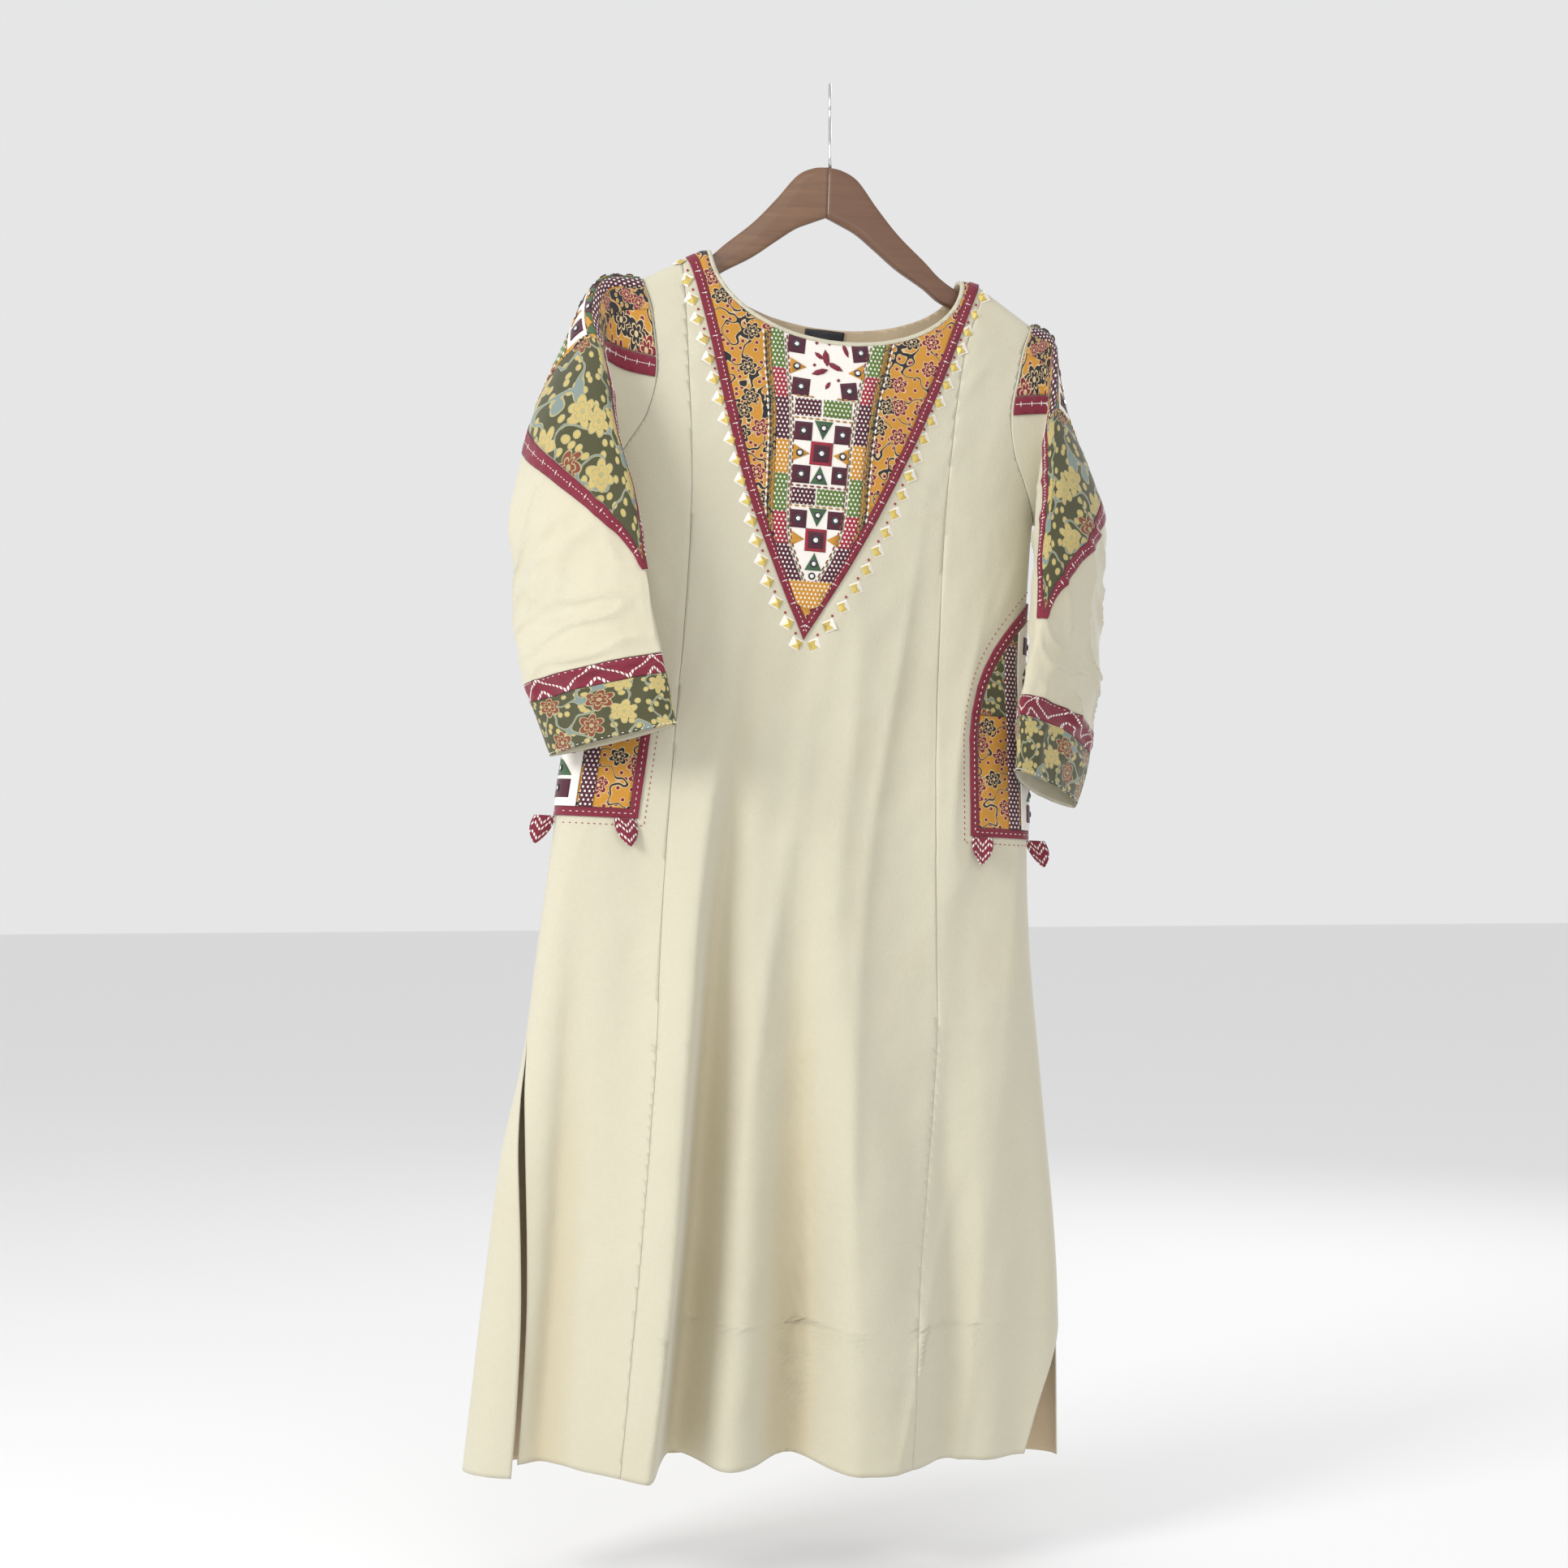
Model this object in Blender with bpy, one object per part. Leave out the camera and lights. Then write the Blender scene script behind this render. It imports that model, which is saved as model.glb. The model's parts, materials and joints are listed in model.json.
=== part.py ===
"""Long cotton kurta with patchwork trim, hanging on a wooden coat hanger.

Metres, +Z up. The front faces -Y and +X is to the viewer's right. The origin is the inside of the
hook's top, where a rail carries it. A height is given as a drop, the distance below the origin, and a
place across the body as an offset from the body's centre line, which leans as the garment hangs.
"""
import math
from bisect import bisect_right
from collections import namedtuple

import bmesh
import bpy
from mathutils import Matrix, Vector

FRONT, BACK = -1, 1          # the sign of Y on each face of the body
LEFT, RIGHT = -1, 1          # the sign of X, as the viewer sees it

# Cloth
CLOTH = 0.0012               # wall of the cotton
PATCH = 0.0011               # a patch of several layers
PIPING = 0.0016              # folded maroon piping
SEAM = 0.0003                # gap between two pieces at a seam
LIE = 0.0005                 # gap under a piece that lies on another
MOST_SHELL = 2.0             # how much further such a piece may stand off at a sharp crease

# Body
SQUARENESS = 2.5             # power of the oval that a level section follows
TILT_TOP = 0.065             # how far the garment has slid down towards the right, at its shoulders
TILT_HEM = 0.030
TOP_ROUND = 0.011            # radius where the cloth rolls over the hanger
SWELL = 0.22                 # drop over which the body opens out below the shoulders
SHOULDER_DROP = 0.1756       # shoulder line at the neck
SHOULDER_SLOPE = 0.59
NECK_POINT = 0.136           # offset where the shoulder line starts to fall
YOKE_LEVEL = 0.300           # drop below which all columns share their levels
FRONT_HEM = 1.308
BACK_HEM = 1.319
SLIT_TOP = 0.925
FLAP_OUT = 0.010             # how far the back panel stands outside the front one at the left slit
HEM_SAG = 0.20               # a fold that stands out hangs this much lower at the hem

# Neck
NECK_CENTRE = -0.005
NECK_HALF = 0.124
NECK_FRONT = 0.078           # depth of the scoop below the shoulder line
NECK_BACK = 0.056
BINDING_WIDTH = 0.004

# Yoke
YOKE_TOPS = {LEFT: -0.1525, RIGHT: 0.1388}
YOKE_TIP = -0.018
YOKE_TIP_DROP = 0.541
YOKE_BULGE = 0.0125
PIPING_WIDTH = 0.0097
SHOULDER_STEP = 0.001        # what lies on the front stops this far below the shoulder seam

Section = namedtuple("Section", "drop centre half front back")
SECTIONS = (
    Section(0.170, 0.010, 0.340, 0.042, 0.036),
    Section(0.210, 0.008, 0.320, 0.042, 0.036),
    Section(0.260, 0.004, 0.280, 0.042, 0.037),
    Section(0.300, 0.000, 0.250, 0.043, 0.038),
    Section(0.340, -0.004, 0.228, 0.044, 0.038),
    Section(0.370, -0.007, 0.219, 0.044, 0.039),
    Section(0.405, -0.010, 0.214, 0.044, 0.040),
    Section(0.470, -0.015, 0.2135, 0.045, 0.041),
    Section(0.550, -0.021, 0.2145, 0.046, 0.042),
    Section(0.655, -0.030, 0.226, 0.047, 0.044),
    Section(0.810, -0.040, 0.239, 0.050, 0.046),
    Section(0.950, -0.043, 0.254, 0.052, 0.048),
    Section(1.130, -0.047, 0.273, 0.056, 0.050),
    Section(1.330, -0.057, 0.286, 0.060, 0.052),
)

# A point of a panel's grid, and its place on the panel laid flat
Node = namedtuple("Node", "point normal flat")

Armhole = namedtuple("Armhole", "drop half")
ARMHOLE = (
    Armhole(0.210, 0.1940),
    Armhole(0.235, 0.1850),
    Armhole(0.260, 0.1800),
    Armhole(0.300, 0.1745),
    Armhole(0.340, 0.1810),
    Armhole(0.370, 0.1960),
    Armhole(0.405, 0.2140),
)
TIP_DROP, UNDERARM = ARMHOLE[0].drop, ARMHOLE[-1].drop

Princess = namedtuple("Princess", "drop left right")
PRINCESS = (
    Princess(0.180, 0.158, 0.143),
    Princess(0.260, 0.150, 0.122),
    Princess(0.410, 0.134, 0.115),
    Princess(0.620, 0.133, 0.121),
    Princess(0.900, 0.138, 0.134),
    Princess(1.150, 0.154, 0.116),
    Princess(1.320, 0.163, 0.114),
)

# How far the slit's edges have swung in from the side, in offset
Slit = namedtuple("Slit", "drop left right")
SLITS = (
    Slit(0.925, 0.0000, 0.000),
    Slit(0.980, 0.0030, 0.000),
    Slit(1.116, 0.0200, 0.000),
    Slit(1.180, 0.0265, 0.000),
    Slit(1.260, 0.0310, 0.031),
    Slit(1.330, 0.0330, 0.056),
)

# A fold starts at a drop and an offset, runs to an offset at the hem, and stands out (or in) there
Fold = namedtuple("Fold", "start at_start at_hem height left right")
FRONT_FOLDS = (
    Fold(0.72, -0.210, -0.226, -0.020, 0.018, 0.030),
    Fold(0.46, -0.082, -0.138, 0.034, 0.052, 0.013),
    Fold(0.44, -0.062, -0.103, -0.036, 0.017, 0.026),
    Fold(0.70, -0.030, -0.060, 0.014, 0.024, 0.034),
    Fold(0.62, -0.002, 0.010, -0.030, 0.040, 0.018),
    Fold(0.66, 0.030, 0.060, 0.034, 0.028, 0.085),
    Fold(0.80, 0.142, 0.150, -0.012, 0.022, 0.022),
    Fold(0.60, 0.168, 0.196, 0.008, 0.026, 0.034),
)
BACK_FOLDS = (
    Fold(0.60, -0.150, -0.180, 0.014, 0.040, 0.040),
    Fold(0.48, -0.070, -0.095, -0.018, 0.034, 0.034),
    Fold(0.55, 0.000, -0.005, 0.016, 0.040, 0.040),
    Fold(0.48, 0.065, 0.090, -0.018, 0.034, 0.034),
    Fold(0.60, 0.150, 0.175, 0.014, 0.040, 0.040),
)
FOLDS = {FRONT: FRONT_FOLDS, BACK: BACK_FOLDS}
FOLD_TOP_WIDTH = 0.45        # a fold's width where it starts, as a share of its width at the hem

# Levels of the body's grid
TOP_FRACTIONS = (0.0, 0.008, 0.03, 0.08, 0.20, 0.42, 0.70, 1.0)
ARM_LEVELS = (0.335, 0.370, 0.390, 0.405)
LOW_LEVELS = (0.47, 0.54, 0.61, 0.68, 0.75, 0.83, 0.925, 1.00, 1.08, 1.16, 1.235)
NECK_COLUMNS = 12
SIDE_COLUMNS = 6
BACK_COLUMNS = 20

# Sleeves: the crease in front and the seam behind, from the armhole (0) to the cuff's edge (10)
Ring = namedtuple("Ring", "step front_x front_y front_z seam_x seam_y seam_z thick")
LEFT_RINGS = (
    Ring(0.0, -0.1860, 0.000, -0.1974, -0.2240, 0.000, -0.393, 0.024),
    Ring(1.0, -0.2225, -0.002, -0.2005, -0.2500, 0.004, -0.420, 0.034),
    Ring(2.0, -0.2380, -0.025, -0.2350, -0.2720, 0.012, -0.445, 0.038),
    Ring(3.0, -0.2355, -0.060, -0.2900, -0.2880, 0.018, -0.465, 0.036),
    Ring(4.0, -0.2290, -0.085, -0.3450, -0.2990, 0.022, -0.482, 0.033),
    Ring(5.0, -0.2140, -0.098, -0.4100, -0.3030, 0.020, -0.503, 0.029),
    Ring(6.0, -0.2010, -0.104, -0.4840, -0.3040, 0.012, -0.530, 0.025),
    Ring(7.0, -0.1960, -0.109, -0.5200, -0.3020, -0.006, -0.556, 0.022),
    Ring(8.0, -0.1880, -0.112, -0.5600, -0.2990, -0.020, -0.586, 0.019),
    Ring(9.0, -0.1840, -0.114, -0.5780, -0.2930, -0.024, -0.603, 0.018),
    Ring(10.0, -0.1750, -0.118, -0.6250, -0.2770, -0.034, -0.652, 0.017),
)
RIGHT_RINGS = (
    Ring(0.0, 0.2030, 0.000, -0.2224, 0.2050, 0.000, -0.417, 0.024),
    Ring(1.0, 0.2240, -0.004, -0.2370, 0.2430, 0.006, -0.434, 0.033),
    Ring(2.0, 0.2180, -0.030, -0.2850, 0.2480, 0.016, -0.462, 0.036),
    Ring(3.0, 0.2080, -0.055, -0.3380, 0.2600, 0.022, -0.482, 0.034),
    Ring(4.0, 0.1980, -0.078, -0.3930, 0.2680, 0.024, -0.502, 0.031),
    Ring(5.0, 0.1880, -0.090, -0.4500, 0.2720, 0.022, -0.525, 0.028),
    Ring(6.0, 0.1790, -0.098, -0.5200, 0.2730, 0.014, -0.560, 0.024),
    Ring(7.0, 0.1700, -0.100, -0.5570, 0.2700, 0.006, -0.590, 0.021),
    Ring(8.0, 0.1620, -0.100, -0.5920, 0.2640, 0.000, -0.624, 0.019),
    Ring(9.0, 0.1580, -0.102, -0.6110, 0.2600, -0.002, -0.646, 0.018),
    Ring(10.0, 0.1530, -0.105, -0.6640, 0.2430, -0.012, -0.697, 0.017),
)
RINGS = {LEFT: LEFT_RINGS, RIGHT: RIGHT_RINGS}

# How far the sleeve's front half has turned from the front towards the body, in degrees
Turn = namedtuple("Turn", "step degrees")
TURNS = (
    Turn(0.0, 0.0),
    Turn(1.0, 10.0),
    Turn(2.0, 35.0),
    Turn(3.0, 70.0),
    Turn(4.0, 105.0),
    Turn(5.0, 126.0),
    Turn(6.0, 131.0),
    Turn(8.0, 138.0),
    Turn(10.0, 139.0),
)
CREASE_POWER = 1.35          # above 1 the flattened sleeve has sharp creases
PUFF = 0.020                 # how far the cap's outer half puffs out to its side
ARMHOLE_BLEND = 4.0          # steps over which the armhole's loop turns into the sleeve's section
SLEEVE_STEPS = (0.0, 0.5, 1.0, 1.5, 2.0, 2.5, 3.0, 4.0, 5.0, 6.0, 7.0)
STRIP_TOP, BAND_TOP, CUFF_END = 8.0, 9.0, 10.0
SEAM_STEP = {8.0: 0.011, 9.0: 0.008}     # the seam gap in steps, by the ring where the seam lies

# Shoulder patch: its edges round the sleeve, 0 at the front crease and 0.5 at the seam
Leaf = namedtuple("Leaf", "step behind ahead")
SHOULDER_LEAF = (
    Leaf(0.06, -0.250, 0.245),
    Leaf(1.00, -0.255, 0.215),
    Leaf(2.00, -0.260, 0.150),
    Leaf(3.00, -0.250, 0.085),
    Leaf(4.00, -0.215, 0.060),
    Leaf(5.00, -0.150, 0.050),
    Leaf(6.00, -0.035, 0.012),
)
LEAF_PIPING = 0.030          # the piping's width as a share of the sleeve's girth
LEAF_GAP = 0.002             # the gap between piping and patch in the same measure
LEAF_START, LEAF_END = 0.06, 6.0     # steps where both start, just off the armhole, and end

# Pockets
POCKET_TOP, POCKET_BOTTOM = 0.484, 0.717
POCKET_HALF = 0.070          # offset that the patch covers, on the front and again on the back
POCKET_ARCH = 0.170          # drop over which its pointed top widens
POCKET_POWER = 2.4
POCKET_PIPING = 0.0085
POCKET_SHRINK = 0.992        # the patch stays this much inside its piping
POCKET_TIP_PIPING = 0.016    # the piping's width at the point, measured down
POCKET_ROWS = slice(12, 17)  # the body's levels that the pocket lies on
EAR_LENGTH, EAR_WIDTH, EAR_FLARE = 0.026, 0.024, 0.010

# Label
LABEL_WIDTH, LABEL_HEIGHT, LABEL_THICK = 0.039, 0.020, 0.0010
LABEL_SHIFT = -0.006

# Hanger
HANGER_HALF_THICK = 0.0050
HANGER_EDGE = 0.0046
HANGER_ROLL = math.radians(1.8)
HANGER_SINK = 0.0038         # settles the arms just under the cloth
HangerTop = namedtuple("HangerTop", "out drop height")
HANGER = (
    HangerTop(0.000, 0.0750, 0.049),
    HangerTop(0.014, 0.0770, 0.053),
    HangerTop(0.030, 0.0855, 0.052),
    HangerTop(0.050, 0.1100, 0.042),
    HangerTop(0.072, 0.1345, 0.034),
    HangerTop(0.100, 0.1590, 0.026),
    HangerTop(0.115, 0.1730, 0.023),
    HangerTop(0.134, 0.1845, 0.019),
    HangerTop(0.150, 0.1900, 0.019),
    HangerTop(0.175, 0.2030, 0.018),
    HangerTop(0.198, 0.2165, 0.017),
    HangerTop(0.206, 0.2220, 0.015),
)
HOOK_WIRE = 0.0016
HOOK_RADIUS = 0.0221
HOOK_TURN = math.radians(15)      # the hook has swivelled side-on
HOOK_START, HOOK_END = math.radians(-48), math.radians(200)

COLOURS = {
    "cream": ((0.74, 0.69, 0.53, 1.0), 0.9, 0.0),
    "maroon": ((0.30, 0.02, 0.05, 1.0), 0.9, 0.0),
    "olive": ((0.16, 0.14, 0.05, 1.0), 0.9, 0.0),
    "patchwork": ((0.45, 0.22, 0.06, 1.0), 0.9, 0.0),
    "black": ((0.02, 0.02, 0.03, 1.0), 0.7, 0.0),
    "wood": ((0.24, 0.12, 0.06, 1.0), 0.45, 0.0),
    "steel": ((0.70, 0.70, 0.70, 1.0), 0.25, 1.0),
}


def smooth(value):
    """Ease from 0 to 1."""
    value = min(max(value, 0.0), 1.0)
    return value * value * (3 - 2 * value)


def mix(low, high, share):
    return low + (high - low) * share


def signed_power(value, power):
    return math.copysign(abs(value) ** power, value)


def read(table, at):
    """A row of a table at any place between its rows, along a smooth curve."""
    keys = [row[0] for row in table]
    at = min(max(at, keys[0]), keys[-1])
    low = min(max(bisect_right(keys, at) - 1, 0), len(keys) - 2)
    span = keys[low + 1] - keys[low]
    share = (at - keys[low]) / span

    def slope(index, column):
        before, after = max(index - 1, 0), min(index + 1, len(keys) - 1)
        return (table[after][column] - table[before][column]) / (keys[after] - keys[before])

    values = [at]
    for column in range(1, len(table[0])):
        start, end = table[low][column], table[low + 1][column]
        values.append(
            start * (2 * share ** 3 - 3 * share ** 2 + 1)
            + end * (3 * share ** 2 - 2 * share ** 3)
            + slope(low, column) * span * (share ** 3 - 2 * share ** 2 + share)
            + slope(low + 1, column) * span * (share ** 3 - share ** 2)
        )
    return type(table[0])(*values)


# Body

def tilt(drop):
    return mix(TILT_TOP, TILT_HEM, smooth((drop - SHOULDER_DROP) / (FRONT_HEM - SHOULDER_DROP)))


def shoulder_drop(offset):
    return SHOULDER_DROP + SHOULDER_SLOPE * max(abs(offset) - NECK_POINT, 0.0)


def fold_height(face, offset, drop):
    """How far the folds stand out of the plain body there."""
    total = 0.0
    for fold in FOLDS[face]:
        share = (drop - fold.start) / (FRONT_HEM - fold.start)
        if share <= 0:
            continue
        away = offset - mix(fold.at_start, fold.at_hem, share)
        width = (fold.left if away < 0 else fold.right) * mix(FOLD_TOP_WIDTH, 1.0, share)
        total += fold.height * smooth(share * 1.15) * math.exp(-(away / width) ** 2)
    return total


def body_point(angle, drop, face):
    """A point of the outer cloth: angle 0 is the right side, pi / 2 the middle and pi the left side."""
    flap = max(angle - math.pi, 0.0)
    if flap:
        angle, face = math.pi - flap, -face
    elif angle < 0:
        angle, face = -angle, -face
    section = read(SECTIONS, drop)
    offset = section.half * signed_power(math.cos(angle), 2 / SQUARENESS)
    edge = abs(math.sin(angle)) ** (2 / SQUARENESS)
    under = max(drop - shoulder_drop(offset), 0.0)
    rolled = TOP_ROUND * math.sqrt(1 - (1 - min(under / TOP_ROUND, 1.0)) ** 2)
    full = section.front if face == FRONT else section.back
    swell = (full - TOP_ROUND) * (1 - (1 - min(under / SWELL, 1.0)) ** 2)
    fold = 0.0 if flap else fold_height(face, offset, drop)
    stand = FLAP_OUT * smooth((drop - SLIT_TOP) / 0.12) * smooth((angle - 2.2) / 0.6)
    if face == BACK or flap:
        swell += stand
        offset -= stand * (1 - edge)
    sag = HEM_SAG * fold * edge * smooth((drop - 1.05) / 0.25)
    return Vector((
        section.centre + offset,
        face * (edge * (rolled + swell + fold) + SEAM / 2),
        -drop - tilt(drop) * offset - sag,
    ))


def angle_at(offset, drop):
    """The angle round the body of an offset from its centre line."""
    share = min(abs(offset) / read(SECTIONS, drop).half, 1.0)
    return math.acos(math.copysign(share ** (SQUARENESS / 2), offset))


def surface_normal(place, across, along, step_across, step_along, outward):
    """The unit normal of a surface, on the side that outward points to."""
    first = place(across + step_across, along) - place(across - step_across, along)
    second = place(across, along + step_along) - place(across, along - step_along)
    normal = first.cross(second).normalized()
    return normal if normal.dot(outward) > 0 else -normal


def body_normal(angle, drop, face, level_seam=False):
    """The cloth's outward normal; at a seam between front and back it stays level with that seam."""
    outward = Vector((math.cos(angle), face * max(math.sin(angle), 0.02), 0.0))
    normal = surface_normal(lambda a, d: body_point(a, d, face), angle, drop, 0.004, 0.0006, outward)
    if level_seam:
        normal.y = 0.0
        normal.normalize()
    return normal


def shoulder_normal(angle, drop, face):
    """Straight up out of the shoulder seam, square to it."""
    before, after = body_point(angle + 0.01, drop, face), body_point(angle - 0.01, drop, face)
    slope = -SHOULDER_SLOPE if before.x + after.x > 0 else SHOULDER_SLOPE
    return Vector((-slope, 0.0, 1.0)).normalized()


def body_node(angle, drop, face, level_seam=False, on_shoulder=False):
    """A node of the body's grid, laid flat as its offset and its drop."""
    if on_shoulder:
        normal = shoulder_normal(angle, drop, face)
    else:
        normal = body_normal(angle, drop, face, level_seam)
    offset = read(SECTIONS, drop).half * signed_power(math.cos(angle), 2 / SQUARENESS)
    return Node(body_point(angle, drop, face), normal, (offset, drop))


def column_drops(top, hem):
    """The levels of one column of the body's grid, from its own top edge to the hem."""
    upper = [mix(top, YOKE_LEVEL, share) for share in TOP_FRACTIONS]
    return upper + list(ARM_LEVELS) + list(LOW_LEVELS) + [hem - 0.028, hem]


def neck_drop(offset, depth, grow=0.0):
    """The neckline's drop at an offset, or None beside the neck."""
    share = (offset - NECK_CENTRE) / (NECK_HALF + grow)
    if abs(share) >= 1:
        return None
    return SHOULDER_DROP + (depth + grow) * math.sqrt(1 - share * share)


def top_drop(offset, depth):
    """The top edge of the body there: the neckline or the shoulder seam."""
    on_neck = neck_drop(offset, depth)
    return shoulder_drop(offset) if on_neck is None else max(on_neck, shoulder_drop(offset))


def outer_angle(side, drop, face):
    """The angle of a panel's outer edge: the armhole, the side seam or the slit."""
    if drop < UNDERARM:
        return angle_at(side * read(ARMHOLE, drop).half, drop)
    inset = 0.0
    if drop > SLIT_TOP:
        row = read(SLITS, drop)
        inset = row.right if side == RIGHT else row.left
    half = read(SECTIONS, drop).half
    if side == RIGHT:
        return angle_at(half - inset, drop) if face == FRONT else 0.0
    turned = math.pi - angle_at(-(half - inset), drop)
    return math.pi - turned - 0.02 * bool(inset) if face == FRONT else math.pi + turned


# Mesh tools

def material(name):
    """The plain finish of one cloth or part."""
    if name in bpy.data.materials:
        return bpy.data.materials[name]
    colour, roughness, metallic = COLOURS[name]
    made = bpy.data.materials.new(name)
    made.use_nodes = True
    shader = made.node_tree.nodes["Principled BSDF"]
    shader.inputs["Base Color"].default_value = colour
    shader.inputs["Roughness"].default_value = roughness
    shader.inputs["Metallic"].default_value = metallic
    return made


def finish(name, mesh, finish_name, collection):
    """Put a finished mesh in the collection under its own name."""
    mesh.materials.append(material(finish_name))
    piece = bpy.data.objects.new(name, mesh)
    collection.objects.link(piece)
    return piece


def sheet_layer(bm, grid, offset):
    """One open grid, with each point moved out along its normal."""
    rows, columns = len(grid), len(grid[0])
    made = bmesh.ops.create_grid(bm, x_segments=columns - 1, y_segments=rows - 1, size=0.5)["verts"]
    for index, vert in enumerate(made):
        node = grid[index // columns][index % columns]
        vert.co = node.point + node.normal * offset
    return made


def settled(grid, tube=False):
    """The same grid with normals taken from its own facets, so that a wall on it keeps its thickness."""
    bm = bmesh.new()
    made = sheet_layer(bm, grid, 0.0)
    columns = len(grid[0])
    if tube:
        lasts = range(columns - 1, len(made), columns)
        bmesh.ops.weld_verts(bm, targetmap={made[last]: made[last + 1 - columns] for last in lasts})
        for last in lasts:
            made[last] = made[last + 1 - columns]
    bmesh.ops.triangulate(bm, faces=bm.faces, quad_method="SHORT_EDGE")
    bm.normal_update()
    nodes = [node for row in grid for node in row]
    facing = math.copysign(1.0, sum(vert.normal.dot(node.normal) for vert, node in zip(made, nodes)))
    outs = [vert.normal * min(vert.calc_shell_factor(), MOST_SHELL) * facing for vert in made]
    mended = [Node(node.point, out, node.flat) for node, out in zip(nodes, outs)]
    bm.free()
    return [mended[start:start + columns] for start in range(0, len(mended), columns)]


def border(verts):
    """The boundary edges among some vertices."""
    chosen = set(verts)
    edges = {edge for vert in chosen for edge in vert.link_edges if edge.is_boundary}
    return [edge for edge in edges if edge.verts[0] in chosen and edge.verts[1] in chosen]


def cloth(name, grid, low, high, finish_name, collection, tube=False):
    """A closed wall of cloth between two offsets from a grid of points with normals."""
    bm = bmesh.new()
    columns = len(grid[0])
    layers = [sheet_layer(bm, grid, offset) for offset in (high, low)]
    if not tube:
        bmesh.ops.bridge_loops(bm, edges=[edge for layer in layers for edge in border(layer)])
    else:
        rims = [[], []]
        for layer in layers:
            welds = {layer[row * columns + columns - 1]: layer[row * columns] for row in range(len(grid))}
            rims[0] += layer[:columns - 1]
            rims[1] += layer[-columns:-1]
            bmesh.ops.weld_verts(bm, targetmap=welds)
        for rim in rims:
            bmesh.ops.bridge_loops(bm, edges=border(rim))
    return closed(name, bm, finish_name, collection)


def closed(name, bm, finish_name, collection):
    """Turn a closed wall into its object."""
    bmesh.ops.recalc_face_normals(bm, faces=bm.faces)
    bmesh.ops.triangulate(bm, faces=bm.faces, quad_method="SHORT_EDGE")
    mesh = bpy.data.meshes.new(name)
    bm.to_mesh(mesh)
    bm.free()
    mesh.shade_smooth()
    return finish(name, mesh, finish_name, collection)


def ground(grid):
    """A panel's own facets, each point with its spot, its normal and its place laid flat."""
    bm = bmesh.new()
    layers = [bm.verts.layers.float_vector.new(key) for key in ("spot", "normal", "flat")]
    made = sheet_layer(bm, grid, 0.0)
    bmesh.ops.triangulate(bm, faces=bm.faces, quad_method="SHORT_EDGE")
    columns = len(grid[0])
    for index, vert in enumerate(made):
        node = grid[index // columns][index % columns]
        for layer, value in zip(layers, (node.point, node.normal, (*node.flat, 0.0))):
            vert[layer] = value
    return bm


def cut(bm, field, keep_all=False):
    """Cut the ground where a field of the flat place is zero and keep the part where it is positive."""
    flat = bm.verts.layers.float_vector["flat"]
    for vert in bm.verts:
        x, y, _ = vert[flat]
        vert.co = (field(x, y), x, y)
    bmesh.ops.bisect_plane(
        bm, geom=[*bm.verts, *bm.edges, *bm.faces], dist=1e-5,
        plane_co=(0.0, 0.0, 0.0), plane_no=(1.0, 0.0, 0.0), clear_inner=not keep_all,
    )


def cut_outline(bm, outline):
    """Keep what lies inside a convex outline on the flat."""
    pairs = list(zip(outline, outline[1:] + outline[:1]))
    turn = math.copysign(1.0, sum(a[0] * b[1] - b[0] * a[1] for a, b in pairs))
    for start, end in pairs:
        run, rise = end[0] - start[0], end[1] - start[1]
        length = math.hypot(run, rise) * turn
        cut(bm, lambda x, y: (run * (y - start[1]) - rise * (x - start[0])) / length)


def cut_strip(grid, path):
    """The ground between two lines that run side by side, given as pairs of points."""
    whole = bmesh.new()
    for (outer, inner), (next_outer, next_inner) in zip(path, path[1:]):
        part = ground(grid)
        cut_outline(part, [outer, next_outer, next_inner, inner])
        mesh = bpy.data.meshes.new("strip")
        part.to_mesh(mesh)
        part.free()
        whole.from_mesh(mesh)
        bpy.data.meshes.remove(mesh)
    return whole


def laid_on(name, bm, thick, finish_name, collection):
    """A closed wall of cloth that lies on the ground it was cut from."""
    spot, normal = (bm.verts.layers.float_vector[key] for key in ("spot", "normal"))
    for vert in bm.verts:
        vert.co = vert[spot]
    bmesh.ops.remove_doubles(bm, verts=bm.verts, dist=8e-5)
    made = bmesh.ops.extrude_face_region(bm, geom=bm.faces[:])["geom"]
    top = {item for item in made if isinstance(item, bmesh.types.BMVert)}
    for vert in bm.verts:
        vert.co = vert[spot] + vert[normal] * (LIE + (thick if vert in top else 0.0))
    return closed(name, bm, finish_name, collection)


# Panels

def centre_columns():
    """Shares across the front centre panel at its top, close together where the neckline is steep."""
    row = PRINCESS[0]
    offsets = [-row.left, -(row.left + NECK_HALF - NECK_CENTRE) / 2]
    for index in range(NECK_COLUMNS + 1):
        offsets.append(NECK_CENTRE + NECK_HALF * math.sin(math.pi * (index / NECK_COLUMNS - 0.5)))
    offsets += [(row.right + NECK_HALF + NECK_CENTRE) / 2, row.right]
    return [(offset + row.left) / (row.left + row.right) for offset in offsets]


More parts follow.
